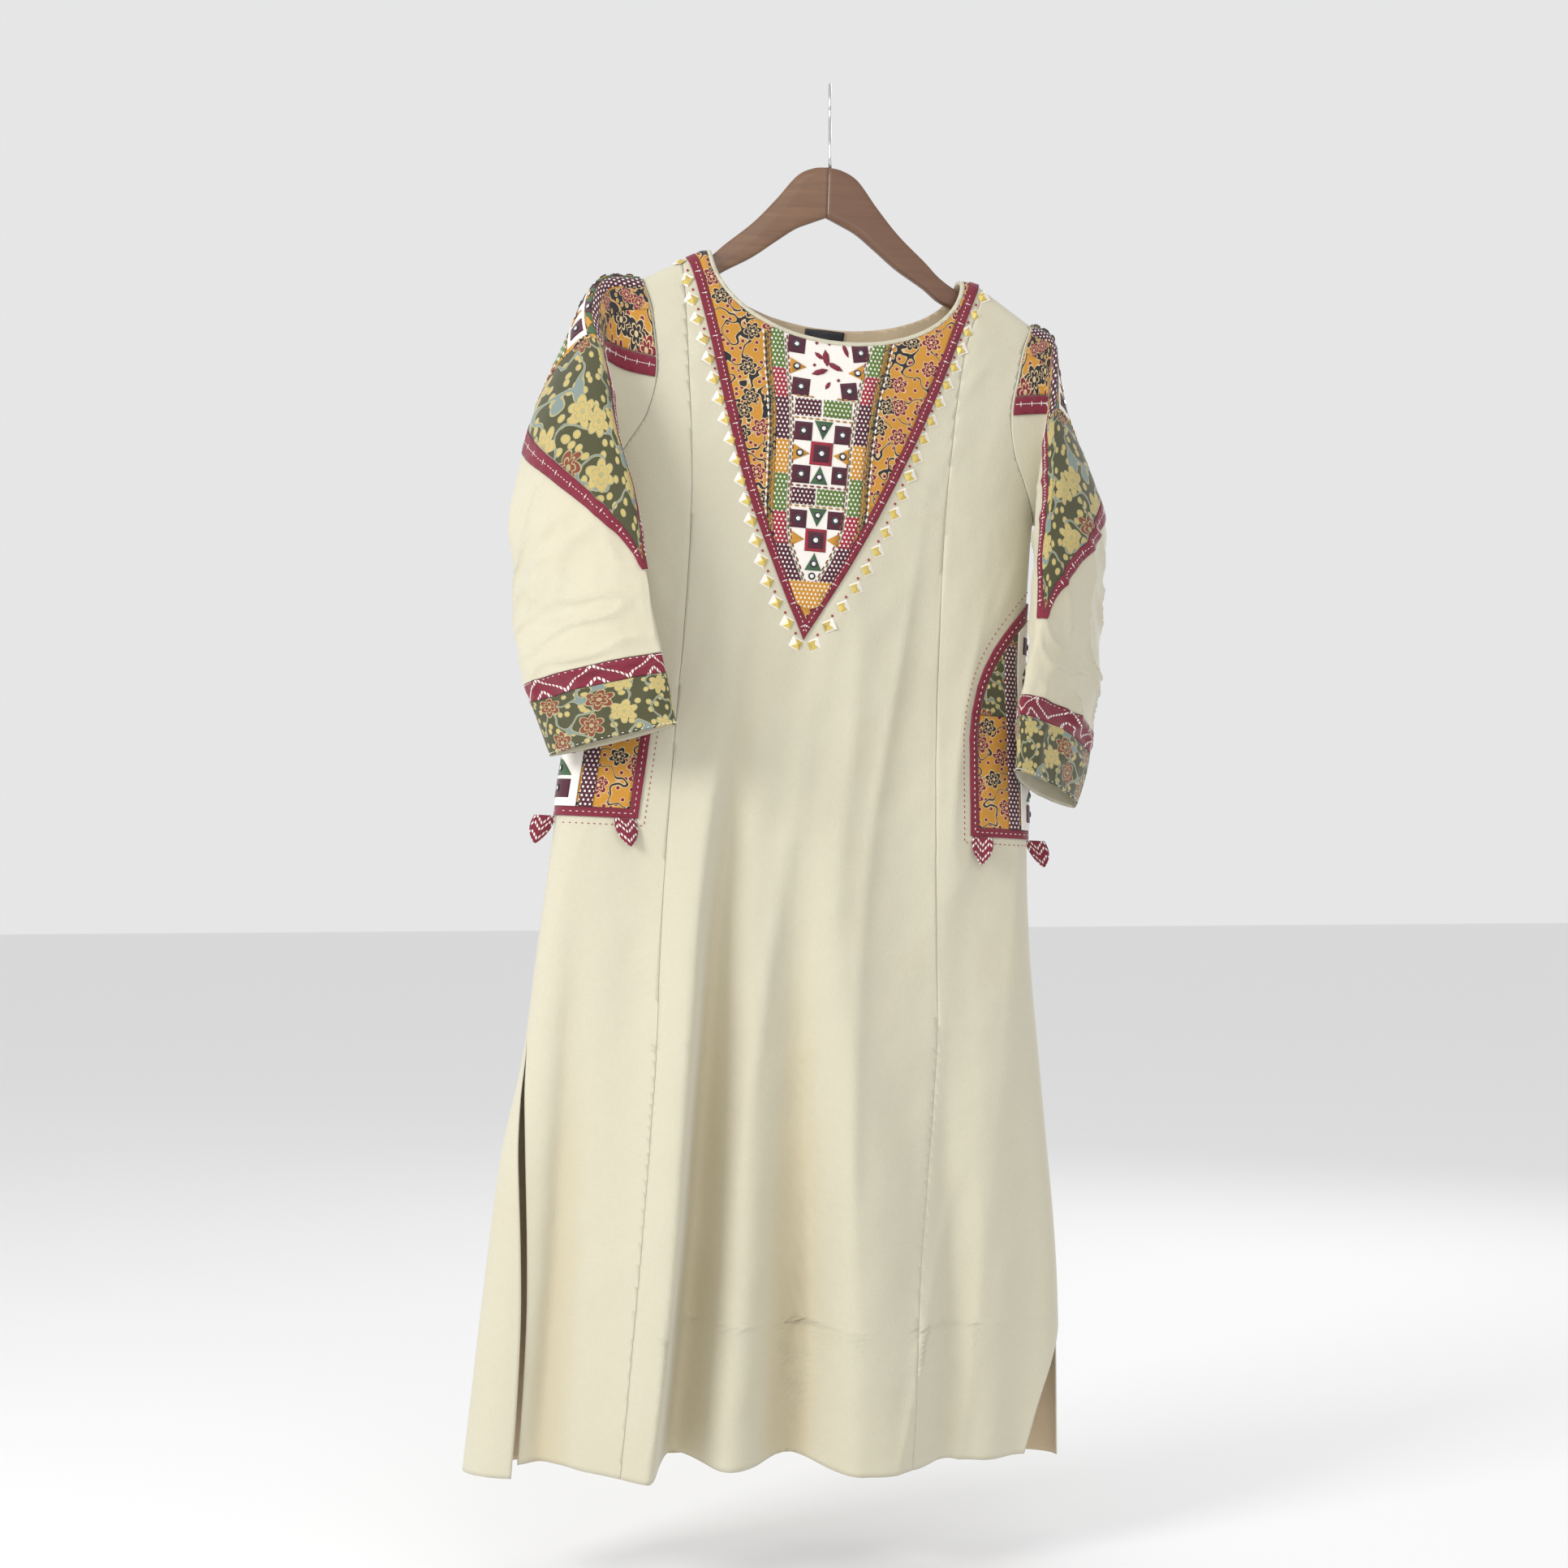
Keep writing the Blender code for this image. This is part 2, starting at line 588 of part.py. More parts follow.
def front_centre(collection):
    """The panel between the princess seams, with the scooped neck."""
    shares = centre_columns()
    columns = []
    for index, share in enumerate(shares):
        even = index / (len(shares) - 1)

        def offset_at(drop):
            row = read(PRINCESS, drop)
            place = mix(share, even, smooth((drop - YOKE_LEVEL) / 0.25))
            left, right = -row.left + SEAM / 2, row.right - SEAM / 2
            return mix(left, right, place)

        top = SHOULDER_DROP
        for _ in range(12):
            top = top_drop(offset_at(top), NECK_FRONT)
        on_shoulder = neck_drop(offset_at(top), NECK_FRONT) is None
        column = []
        for level, drop in enumerate(column_drops(top, FRONT_HEM)):
            angle = angle_at(offset_at(drop), drop)
            column.append(body_node(angle, drop, FRONT, on_shoulder=level == 0 and on_shoulder))
        columns.append(column)
    grid = [list(row) for row in zip(*columns)]
    cloth("front_centre", grid, -CLOTH, 0.0, "cream", collection)
    return grid


def side_panel(side, collection):
    """The front panel from a princess seam to the armhole and the side seam."""
    gap = SEAM / 2
    columns = []
    for index in range(SIDE_COLUMNS + 1):
        share = index / SIDE_COLUMNS

        def angle_of(drop):
            row = read(PRINCESS, drop)
            offset = row.right + gap if side == RIGHT else -row.left - gap
            inner = angle_at(offset, drop)
            return mix(inner, outer_angle(side, drop, FRONT), 1 - (1 - share) ** 1.25)

        top = 0.19
        for _ in range(12):
            offset = body_point(angle_of(top), top, FRONT).x - read(SECTIONS, top).centre
            top = shoulder_drop(offset)
        top = TIP_DROP if index == SIDE_COLUMNS else top
        column = []
        for level, drop in enumerate(column_drops(top, FRONT_HEM)):
            on_seam = index == SIDE_COLUMNS and UNDERARM <= drop <= SLIT_TOP
            column.append(body_node(angle_of(drop), drop, FRONT, on_seam, level == 0))
        columns.append(column)
    grid = [list(row) for row in zip(*columns)]
    name = "front_side_right" if side == RIGHT else "front_side_left"
    cloth(name, grid, -CLOTH, 0.0, "cream", collection)
    return grid


def back_shares():
    """Shares across the back's top edge; the neck takes the middle columns."""
    tip = ARMHOLE[0].half
    offsets = []
    for index in range(BACK_COLUMNS + 1):
        even = -1 + 2 * index / BACK_COLUMNS
        neck_share = 0.6
        if abs(even) <= neck_share:
            offsets.append(NECK_CENTRE + NECK_HALF * math.sin(math.pi / 2 * even / neck_share))
        else:
            start = NECK_CENTRE + math.copysign(NECK_HALF, even)
            offsets.append(mix(start, math.copysign(tip, even), (abs(even) - neck_share) / (1 - neck_share)))
    return offsets


def back_panel(collection):
    """The one-piece back, from armhole to armhole."""
    columns = []
    offsets = back_shares()
    for index, top_offset in enumerate(offsets):
        even = index / BACK_COLUMNS

        def angle_of(drop):
            right, left = outer_angle(RIGHT, drop, BACK), outer_angle(LEFT, drop, BACK)
            settled = mix(left, right, even)
            if drop >= 0.40:
                return settled
            scale = read(ARMHOLE, drop).half / ARMHOLE[0].half
            return mix(angle_at(top_offset * scale, drop), settled, smooth((drop - 0.30) / 0.10))

        top = SHOULDER_DROP
        for _ in range(12):
            offset = body_point(angle_of(top), top, BACK).x - read(SECTIONS, top).centre
            top = top_drop(offset, NECK_BACK)
        at_edge = index in (0, BACK_COLUMNS)
        top = TIP_DROP if at_edge else top
        on_neck = abs(-1 + 2 * even) < 0.6 - 0.001
        column = []
        for level, drop in enumerate(column_drops(top, BACK_HEM)):
            on_seam = at_edge and UNDERARM <= drop <= SLIT_TOP
            column.append(body_node(angle_of(drop), drop, BACK, on_seam, level == 0 and not on_neck))
        columns.append(column)
    grid = [list(row) for row in zip(*columns)]
    cloth("back", grid, -CLOTH, 0.0, "cream", collection)
    return grid


# Sleeves

def armhole_angles():
    """Places round the sleeve that meet the levels of the body's grid, from the shoulder to the underarm."""
    drops = [mix(TIP_DROP, YOKE_LEVEL, share) for share in TOP_FRACTIONS] + list(ARM_LEVELS)
    return [math.acos(1 - 2 * (drop - TIP_DROP) / (UNDERARM - TIP_DROP)) / math.tau for drop in drops]


def armhole_point(side, around):
    """The armhole's edge: 0 is the shoulder tip, 0.5 the underarm, the front between them."""
    around = around % 1.0
    face = FRONT if around <= 0.5 else BACK
    drop = mix(TIP_DROP, UNDERARM, (1 - math.cos(math.tau * around)) / 2)
    point = body_point(outer_angle(side, drop, face), drop, face)
    return point + Vector((side * (SEAM + 0.0001), 0.0, 0.0))


def ring_at(side, step):
    """The front crease, the seam and the half thickness of the sleeve at a step."""
    row = read(RINGS[side], step)
    return Vector(row[1:4]), Vector(row[4:7]), row.thick


def sleeve_point(side, around, step):
    """A point of the sleeve's outer cloth."""
    front, seam, thick = ring_at(side, step)
    middle, long_axis = (front + seam) / 2, (front - seam) / 2
    swing = math.radians(read(TURNS, step).degrees)
    short_axis = Vector((-side * math.sin(swing), -math.cos(swing), 0.0))
    short_axis = (short_axis - short_axis.project(long_axis)).normalized() * thick
    turn = math.tau * around
    point = middle + long_axis * math.cos(turn) + short_axis * signed_power(math.sin(turn), CREASE_POWER)
    stay = 1 - smooth(step / ARMHOLE_BLEND)
    if stay <= 0:
        return point
    outer_half = max(-math.sin(turn), 0.0)
    puffed = Vector((side * PUFF * outer_half * math.sin(math.pi * step / ARMHOLE_BLEND), 0.0, 0.0))
    start_front, start_seam, _ = ring_at(side, 0.0)
    drift = (seam - start_seam).lerp(front - start_front, (1 + math.cos(turn)) / 2)
    return point.lerp(armhole_point(side, around) + drift, stay) + puffed


def sleeve_node(side, around, step):
    """A point of the sleeve with its outward normal."""
    front, seam, _ = ring_at(side, step)
    point = sleeve_point(side, around, step)
    low, high = max(step - 0.05, 0.0), min(step + 0.05, CUFF_END)
    across = sleeve_point(side, around + 0.012, step) - sleeve_point(side, around - 0.012, step)
    along = sleeve_point(side, around, high) - sleeve_point(side, around, low)
    normal = across.cross(along).normalized()
    outward = point - (front + seam) / 2
    flat = (around if around <= 0.5 else around - 1.0, step)
    return Node(point, normal if normal.dot(outward) > 0 else -normal, flat)


def sleeve_grid(side, steps):
    """Rings of the sleeve, closed on themselves."""
    half = armhole_angles()
    places = half + [1 - place for place in reversed(half[:-1])]
    return [[sleeve_node(side, place, step) for place in places] for step in steps]


def sleeve(side, collection):
    """The three-quarter sleeve with its tie-dyed strip and its printed band."""
    word = "right" if side == RIGHT else "left"
    parts = (
        ("sleeve_", SLEEVE_STEPS + (STRIP_TOP - SEAM_STEP[STRIP_TOP],), "cream"),
        ("cuff_strip_", (STRIP_TOP + SEAM_STEP[STRIP_TOP], BAND_TOP - SEAM_STEP[BAND_TOP]), "maroon"),
        ("cuff_band_", (BAND_TOP + SEAM_STEP[BAND_TOP], 9.5, CUFF_END), "olive"),
    )
    grids = [settled(sleeve_grid(side, steps), tube=True) for _, steps, _ in parts]
    for (name, _, finish_name), grid in zip(parts, grids):
        cloth(name + word, grid, -CLOTH, 0.0, finish_name, collection, tube=True)
    return grids[0]


def shoulder_patch(side, sleeve_rows, collection):
    """The leaf-shaped patch over the sleeve cap and the piping round it."""
    word = "right" if side == RIGHT else "left"
    half = len(armhole_angles())
    grid = [row[half - 1:-1] + row[:half] for row in sleeve_rows]
    for row, first in zip(grid, [row[half - 1] for row in sleeve_rows]):
        row[0] = Node(first.point, first.normal, (-0.5, first.flat[1]))

    def from_behind(around, step):
        return around - read(SHOULDER_LEAF, step).behind

    def from_ahead(around, step):
        return read(SHOULDER_LEAF, step).ahead - around

    def leaf():
        bm = ground(grid)
        cut(bm, lambda around, step: step - LEAF_START)
        cut(bm, lambda around, step: LEAF_END - step)
        return bm

    patch = leaf()
    for edge in (from_behind, from_ahead):
        cut(patch, lambda around, step: edge(around, step) - LEAF_PIPING - LEAF_GAP)
    laid_on("shoulder_patch_" + word, patch, PATCH, "patchwork", collection)

    piping = leaf()
    cut(piping, from_behind)
    cut(piping, from_ahead)
    cut(piping, lambda around, step: from_behind(around, step) - from_ahead(around, step), keep_all=True)
    cut(piping, lambda around, step: LEAF_PIPING - min(from_behind(around, step), from_ahead(around, step)))
    laid_on("shoulder_piping_" + word, piping, PIPING, "maroon", collection)


# Yoke and neck

def yoke_line(side, drop):
    """The offset of the yoke's V edge at a drop."""
    top = SHOULDER_DROP + SHOULDER_SLOPE * (abs(YOKE_TOPS[side]) - NECK_POINT)
    share = (drop - top) / (YOKE_TIP_DROP - top)
    bulge = YOKE_BULGE * math.sin(math.pi * min(max(share, 0.0), 1.0) ** 1.3)
    return mix(YOKE_TOPS[side], YOKE_TIP, share) + side * bulge


def inside_yoke(offset, drop):
    """How far inside the V edge a place is, across the body."""
    return min(side * (yoke_line(side, drop) - offset) for side in (LEFT, RIGHT))


def below_shoulder(offset, drop):
    return drop - shoulder_drop(offset) - SHOULDER_STEP


def outside_neck(offset, drop, depth, grow):
    """Positive outside the neckline grown by some width, roughly in metres."""
    across = (offset - NECK_CENTRE) / (NECK_HALF + grow)
    down = (drop - SHOULDER_DROP) / (depth + grow)
    return (math.hypot(across, down) - 1.0) * (depth + grow)


def yoke(front_grid, back_grid, collection):
    """The patchwork V on the front, its piping, and the bindings of the neck."""
    middle = (YOKE_TOPS[LEFT] + YOKE_TOPS[RIGHT]) / 2

    def ridge(offset, drop):
        share = (drop - SHOULDER_DROP) / (YOKE_TIP_DROP - SHOULDER_DROP)
        return offset - mix(middle, YOKE_TIP, share)

    upper = settled([row for row in front_grid if row[0].flat[1] < YOKE_TIP_DROP + 0.09])
    patch = ground(upper)
    cut(patch, ridge, keep_all=True)
    cut(patch, below_shoulder)
    cut(patch, lambda x, y: outside_neck(x, y, NECK_FRONT, BINDING_WIDTH + SEAM))
    cut(patch, lambda x, y: inside_yoke(x, y) - PIPING_WIDTH - SEAM)
    laid_on("yoke_patch", patch, PATCH, "patchwork", collection)

    piping = ground(upper)
    cut(piping, ridge, keep_all=True)
    cut(piping, below_shoulder)
    cut(piping, inside_yoke)
    cut(piping, lambda x, y: PIPING_WIDTH - inside_yoke(x, y))
    laid_on("yoke_piping", piping, PIPING, "maroon", collection)

    for name, grid, depth in (
        ("neck_binding_front", front_grid, NECK_FRONT),
        ("neck_binding_back", back_grid, NECK_BACK),
    ):
        binding = ground(settled([row for row in grid if row[0].flat[1] <= YOKE_LEVEL + 0.001]))
        cut(binding, below_shoulder)
        cut(binding, lambda x, y: -outside_neck(x, y, depth, BINDING_WIDTH))
        laid_on(name, binding, PATCH, "cream", collection)


def label(collection):
    """The blank label that hangs inside the back neck."""
    grid = []
    for down in (0.0, 0.5, 1.0):
        row = []
        for across in (-0.5, 0.0, 0.5):
            drop = SHOULDER_DROP + NECK_BACK + 0.001 + LABEL_HEIGHT * down
            row.append(body_node(angle_at(LABEL_SHIFT + LABEL_WIDTH * across, drop), drop, BACK))
        grid.append(row)
    high = -CLOTH - LIE
    cloth("neck_label", grid, high - LABEL_THICK, high, "black", collection)


# Pockets

def pocket_width(drop):
    """How much of its full width the pocket has at a drop."""
    rise = min((drop - POCKET_TOP) / POCKET_ARCH, 1.0)
    return 1 - (1 - rise) ** POCKET_POWER


def pocket_ground(side, front_grid, back_grid):
    """The grids of both panels beside a side seam, laid flat as the place in from that seam."""
    rows = []
    for front_row, back_row in zip(front_grid[POCKET_ROWS], back_grid[POCKET_ROWS]):
        near = back_row[:SIDE_COLUMNS + 1] if side == LEFT else back_row[:-SIDE_COLUMNS - 2:-1]
        row = []
        for face, nodes in ((1, front_row), (-1, near)):
            for node in nodes:
                offset, drop = node.flat
                inward = read(SECTIONS, drop).half - abs(offset) + SEAM / 2
                row.append(Node(node.point, node.normal, (face * inward, drop)))
        rows.append(row)
    return settled(rows)


def pocket_path():
    """The front half of the pocket's outline from its point to the bottom: outer and inner line."""
    full = POCKET_BOTTOM - POCKET_TOP
    path = [((0.0, POCKET_TOP), (0.0, POCKET_TOP + POCKET_TIP_PIPING))]
    for rise in (0.10, 0.22, 0.38, 0.60, 1.0):
        drop = POCKET_TOP + full * rise
        inner = mix(POCKET_TOP + POCKET_TIP_PIPING, POCKET_BOTTOM - POCKET_PIPING, rise)
        path.append((
            (POCKET_HALF * pocket_width(drop), drop),
            ((POCKET_HALF - POCKET_PIPING) * pocket_width(mix(POCKET_TOP, POCKET_BOTTOM, rise)), inner),
        ))
    return path


def pocket(side, front_grid, back_grid, collection):
    """The patch over one side seam, its piping and its ears."""
    word = "right" if side == RIGHT else "left"
    grid = pocket_ground(side, front_grid, back_grid)
    half = pocket_path()
    mirrored = [tuple((-x, y) for x, y in pair) for pair in reversed(half[1:])]
    path = half + mirrored
    top = len(half) - 1
    outline = []
    for index, (_, (x, y)) in enumerate(path):
        inward = -SEAM if top <= index <= top + 1 else SEAM
        outline.append((x * POCKET_SHRINK, y + inward))
    patch = ground(grid)
    cut_outline(patch, outline)
    laid_on("pocket_patch_" + word, patch, PATCH, "patchwork", collection)
    laid_on("pocket_piping_" + word, cut_strip(grid, path + path[:1]), PIPING, "maroon", collection)

    drop = POCKET_BOTTOM + SEAM
    turn = 0.0 if side == RIGHT else math.pi
    seam = body_point(turn, drop, FRONT) + Vector((side * 0.0012, 0.0, 0.0))
    angle = angle_at(side * (read(SECTIONS, drop).half - POCKET_HALF + EAR_WIDTH / 2), drop)
    on_front = body_node(angle, drop, FRONT)
    level = Vector((side, 0.0, -side * tilt(drop)))
    ear("pocket_ear_side_" + word, seam + level * EAR_WIDTH * 0.4, level,
        Vector((side * 0.35, 0.0, -1.0)), collection)
    ear("pocket_ear_front_" + word, on_front.point + on_front.normal * 0.0025, level,
        Vector((-side * 0.15, -EAR_FLARE / EAR_LENGTH, -1.0)), collection)


def ear(name, base, across, down, collection):
    """A leaf of maroon cloth that hangs from a base line."""
    normal = across.cross(down).normalized()
    grid = []
    for share in (0.0, 0.3, 0.6, 0.85, 1.0):
        width = EAR_WIDTH * (0.8 + 0.7 * share - 1.4 * share ** 2)
        middle = base + down * EAR_LENGTH * share
        grid.append([
            Node(middle + across * width * place, normal, (place, share))
            for place in (-0.5, 0.0, 0.5)
        ])
    cloth(name, grid, -PATCH / 2, PATCH / 2, "maroon", collection)


# Hanger

def hanger_arm(side, collection):
    """One wooden half of the hanger: a flat outline with rounded edges."""
    samples = [HANGER[-1].out * index / 16 for index in range(17)]
    rows = [read(HANGER, out) for out in samples]
    top = [(row.out, -row.drop - HANGER_SINK) for row in rows]
    bottom = [(row.out, -row.drop - HANGER_SINK - row.height) for row in reversed(rows)]
    outline = [(max(out, SEAM / 2), height) for out, height in top + bottom]
    curve = bpy.data.curves.new("hanger_outline", "CURVE")
    curve.dimensions = "2D"
    curve.fill_mode = "BOTH"
    curve.extrude = HANGER_HALF_THICK - HANGER_EDGE
    curve.bevel_depth = HANGER_EDGE
    curve.bevel_resolution = 2
    curve.offset = -HANGER_EDGE
    spline = curve.splines.new("POLY")
    spline.points.add(len(outline) - 1)
    for point, (out, height) in zip(spline.points, outline):
        point.co = (side * out, height, 0.0, 1.0)
    spline.use_cyclic_u = True
    name = "hanger_arm_right" if side == RIGHT else "hanger_arm_left"
    curve.materials.append(material("wood"))
    piece = bpy.data.objects.new(name, curve)
    piece.matrix_world = Matrix.Rotation(HANGER_ROLL, 4, "Y") @ Matrix.Rotation(math.pi / 2, 4, "X")
    collection.objects.link(piece)
    return piece


def hook(collection):
    """The bent wire that hangs on a rail; the inside of its top is the origin."""
    centre = HOOK_WIRE - HOOK_RADIUS
    foot = HANGER[0].drop + HANGER_SINK - SEAM
    path = [(0.0, -foot), (0.0, -0.058), (0.0015, -0.0505), (0.0065, -0.0440)]
    count = 16
    for index in range(count + 1):
        turn = mix(HOOK_START, HOOK_END, index / count)
        path.append((HOOK_RADIUS * math.cos(turn), centre + HOOK_RADIUS * math.sin(turn)))
    curve = bpy.data.curves.new("hook_wire", "CURVE")
    curve.dimensions = "3D"
    curve.bevel_depth = HOOK_WIRE
    curve.bevel_resolution = 2
    curve.use_fill_caps = True
    spline = curve.splines.new("POLY")
    spline.points.add(len(path) - 1)
    for point, (depth, height) in zip(spline.points, path):
        point.co = (depth * math.sin(HOOK_TURN), depth * math.cos(HOOK_TURN), height, 1.0)
    curve.materials.append(material("steel"))
    piece = bpy.data.objects.new("hook", curve)
    collection.objects.link(piece)
    return piece


def main():
    for item in list(bpy.data.objects):
        bpy.data.objects.remove(item, do_unlink=True)
    collection = bpy.data.collections.new("kurta_on_hanger")
    bpy.context.scene.collection.children.link(collection)
    front_grid = front_centre(collection)
    back_grid = back_panel(collection)
    for side in (LEFT, RIGHT):
        side_grid = side_panel(side, collection)
        shoulder_patch(side, sleeve(side, collection), collection)
        pocket(side, side_grid, back_grid, collection)
        hanger_arm(side, collection)
    yoke(front_grid, back_grid, collection)
    label(collection)
    hook(collection)


main()
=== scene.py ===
"""Long cotton kurta with patchwork trim on a wooden coat hanger: the visual model.

Metres, +Z up. The front faces -Y and +X is to the viewer's right. The origin is the inside of the
hook's top. A height is a drop, the distance below the origin, and a place across the body is an
offset from the body's centre line. Every cloth piece is cut from a dense sheet that is laid flat in
two measures, so seams, patches and prints are placed as on the cutting table.
"""
from __future__ import annotations

import json
import logging
import math
from bisect import bisect_right
from collections.abc import Callable, Iterable, Sequence
from dataclasses import dataclass, field
from enum import Enum
from typing import NamedTuple

import bmesh
import bpy
from mathutils import Matrix, Vector, noise

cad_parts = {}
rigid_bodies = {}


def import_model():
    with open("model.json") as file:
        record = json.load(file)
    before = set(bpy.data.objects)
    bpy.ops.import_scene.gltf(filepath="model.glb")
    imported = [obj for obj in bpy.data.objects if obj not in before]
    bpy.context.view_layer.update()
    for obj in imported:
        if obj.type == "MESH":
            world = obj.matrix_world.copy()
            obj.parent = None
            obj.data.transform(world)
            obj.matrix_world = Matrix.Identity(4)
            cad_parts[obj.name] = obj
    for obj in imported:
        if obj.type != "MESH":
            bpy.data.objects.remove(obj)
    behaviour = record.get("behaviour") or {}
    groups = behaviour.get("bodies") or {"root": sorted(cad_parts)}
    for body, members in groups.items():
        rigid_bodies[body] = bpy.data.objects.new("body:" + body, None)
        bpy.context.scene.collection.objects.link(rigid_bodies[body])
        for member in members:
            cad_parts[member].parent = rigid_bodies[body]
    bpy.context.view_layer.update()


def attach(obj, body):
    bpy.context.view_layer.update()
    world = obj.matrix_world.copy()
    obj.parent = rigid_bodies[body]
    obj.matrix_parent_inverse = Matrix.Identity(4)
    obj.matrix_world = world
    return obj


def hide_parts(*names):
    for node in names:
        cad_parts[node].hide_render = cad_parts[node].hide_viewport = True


LOG = logging.getLogger("kurta")

Colour = tuple[float, float, float, float]
Flat = tuple[float, float]
Field = Callable[[float, float], float]
Chart = Callable[[float, float], Flat]

CLOTH = 0.0012               # wall of the cotton
PATCH = 0.0011               # a patch of several layers
PIPING = 0.0016              # folded piping
SEAM = 0.0003                # gap between two pieces at a seam
LIE = 0.0005                 # gap under a piece that lies on another
MOST_SHELL = 2.0             # how much further a wall may stand off at a sharp crease
SKIN = 0.0005                # one thin layer of appliqué
MM = 1000                    # millimetres in a metre
FINE = 0.0009                # width of a fine stitch
MIX_FIRST, MIX_SECOND, MIX_COLOUR = 6, 7, 2      # the colour sockets of a Mix node


class Face(Enum):
    """A face of the body, with its sign of Y."""
    FRONT = -1
    BACK = 1

    @property
    def other(self) -> "Face":
        """The opposite face."""
        return Face(-self.value)


class Side(Enum):
    """A side of the garment as the viewer sees it, with its sign of X."""
    LEFT = -1
    RIGHT = 1

    @property
    def word(self) -> str:
        """The side's name in a piece's name."""
        return self.name.lower()


class Tone(Enum):
    """Colours of the cloths and threads, and two painted shade tones of the cotton, linear."""
    CREAM = (0.575, 0.540, 0.410, 1.0)
    # painted shade: the warm, darker tone laid on the cotton deep in its folds
    WARM = (0.525, 0.440, 0.270, 1.0)
    # painted shade: the darker beige of the cotton's inner face inside the back
    BEIGE = (0.56, 0.44, 0.29, 1.0)
    WHITE = (0.80, 0.76, 0.70, 1.0)
    MAROON = (0.185, 0.010, 0.028, 1.0)
    PLUM = (0.065, 0.008, 0.022, 1.0)
    CRIMSON = (0.30, 0.018, 0.035, 1.0)
    MUSTARD = (0.52, 0.24, 0.025, 1.0)
    GOLD_THREAD = (0.42, 0.23, 0.05, 1.0)
    LEAF = (0.095, 0.165, 0.030, 1.0)
    BOTTLE = (0.045, 0.105, 0.045, 1.0)
    OLIVE = (0.060, 0.058, 0.022, 1.0)
    OLIVE_THREAD = (0.150, 0.140, 0.040, 1.0)
    STRAW = (0.50, 0.38, 0.13, 1.0)
    SLATE = (0.19, 0.24, 0.22, 1.0)
    RUST = (0.20, 0.045, 0.022, 1.0)
    BLACK = (0.012, 0.012, 0.016, 1.0)
    WOOD_LIGHT = (0.250, 0.135, 0.070, 1.0)
    WOOD_DARK = (0.105, 0.045, 0.022, 1.0)


def smooth(value: float) -> float:
    """Ease from 0 to 1."""
    value = min(max(value, 0.0), 1.0)
    return value * value * (3 - 2 * value)


def mix(low: float, high: float, share: float) -> float:
    """A value between two others."""
    return low + (high - low) * share


def signed_power(value: float, power: float) -> float:
    """A power that keeps the sign."""
    return math.copysign(abs(value) ** power, value)


def bell(away: float, width: float) -> float:
    """A smooth hump of height 1."""
    return math.exp(-(away / width) ** 2)


def read(table: Sequence[NamedTuple], at: float) -> NamedTuple:
    """A row of a table at any place between its rows.

    Args:
        table: Rows whose first column rises.
        at: The first column's value that is wanted.

    Returns:
        The row there, along a smooth curve through the table's rows.
    """
    keys = [row[0] for row in table]
    at = min(max(at, keys[0]), keys[-1])
    low = min(max(bisect_right(keys, at) - 1, 0), len(keys) - 2)
    span = keys[low + 1] - keys[low]
    share = (at - keys[low]) / span

    def slope(index: int, column: int) -> float:
        """The curve's slope at one row."""
        before, after = max(index - 1, 0), min(index + 1, len(keys) - 1)
        return (table[after][column] - table[before][column]) / (keys[after] - keys[before])

    values = [at]
    for column in range(1, len(table[0])):
        start, end = table[low][column], table[low + 1][column]
        values.append(
            start * (2 * share ** 3 - 3 * share ** 2 + 1)
            + end * (3 * share ** 2 - 2 * share ** 3)
            + slope(low, column) * span * (share ** 3 - 2 * share ** 2 + share)
            + slope(low + 1, column) * span * (share ** 3 - share ** 2)
        )
    return type(table[0])(*values)


def of(row: NamedTuple, side: Side) -> float:
    """The left or the right column of a row."""
    return getattr(row, side.word)


# Finishes

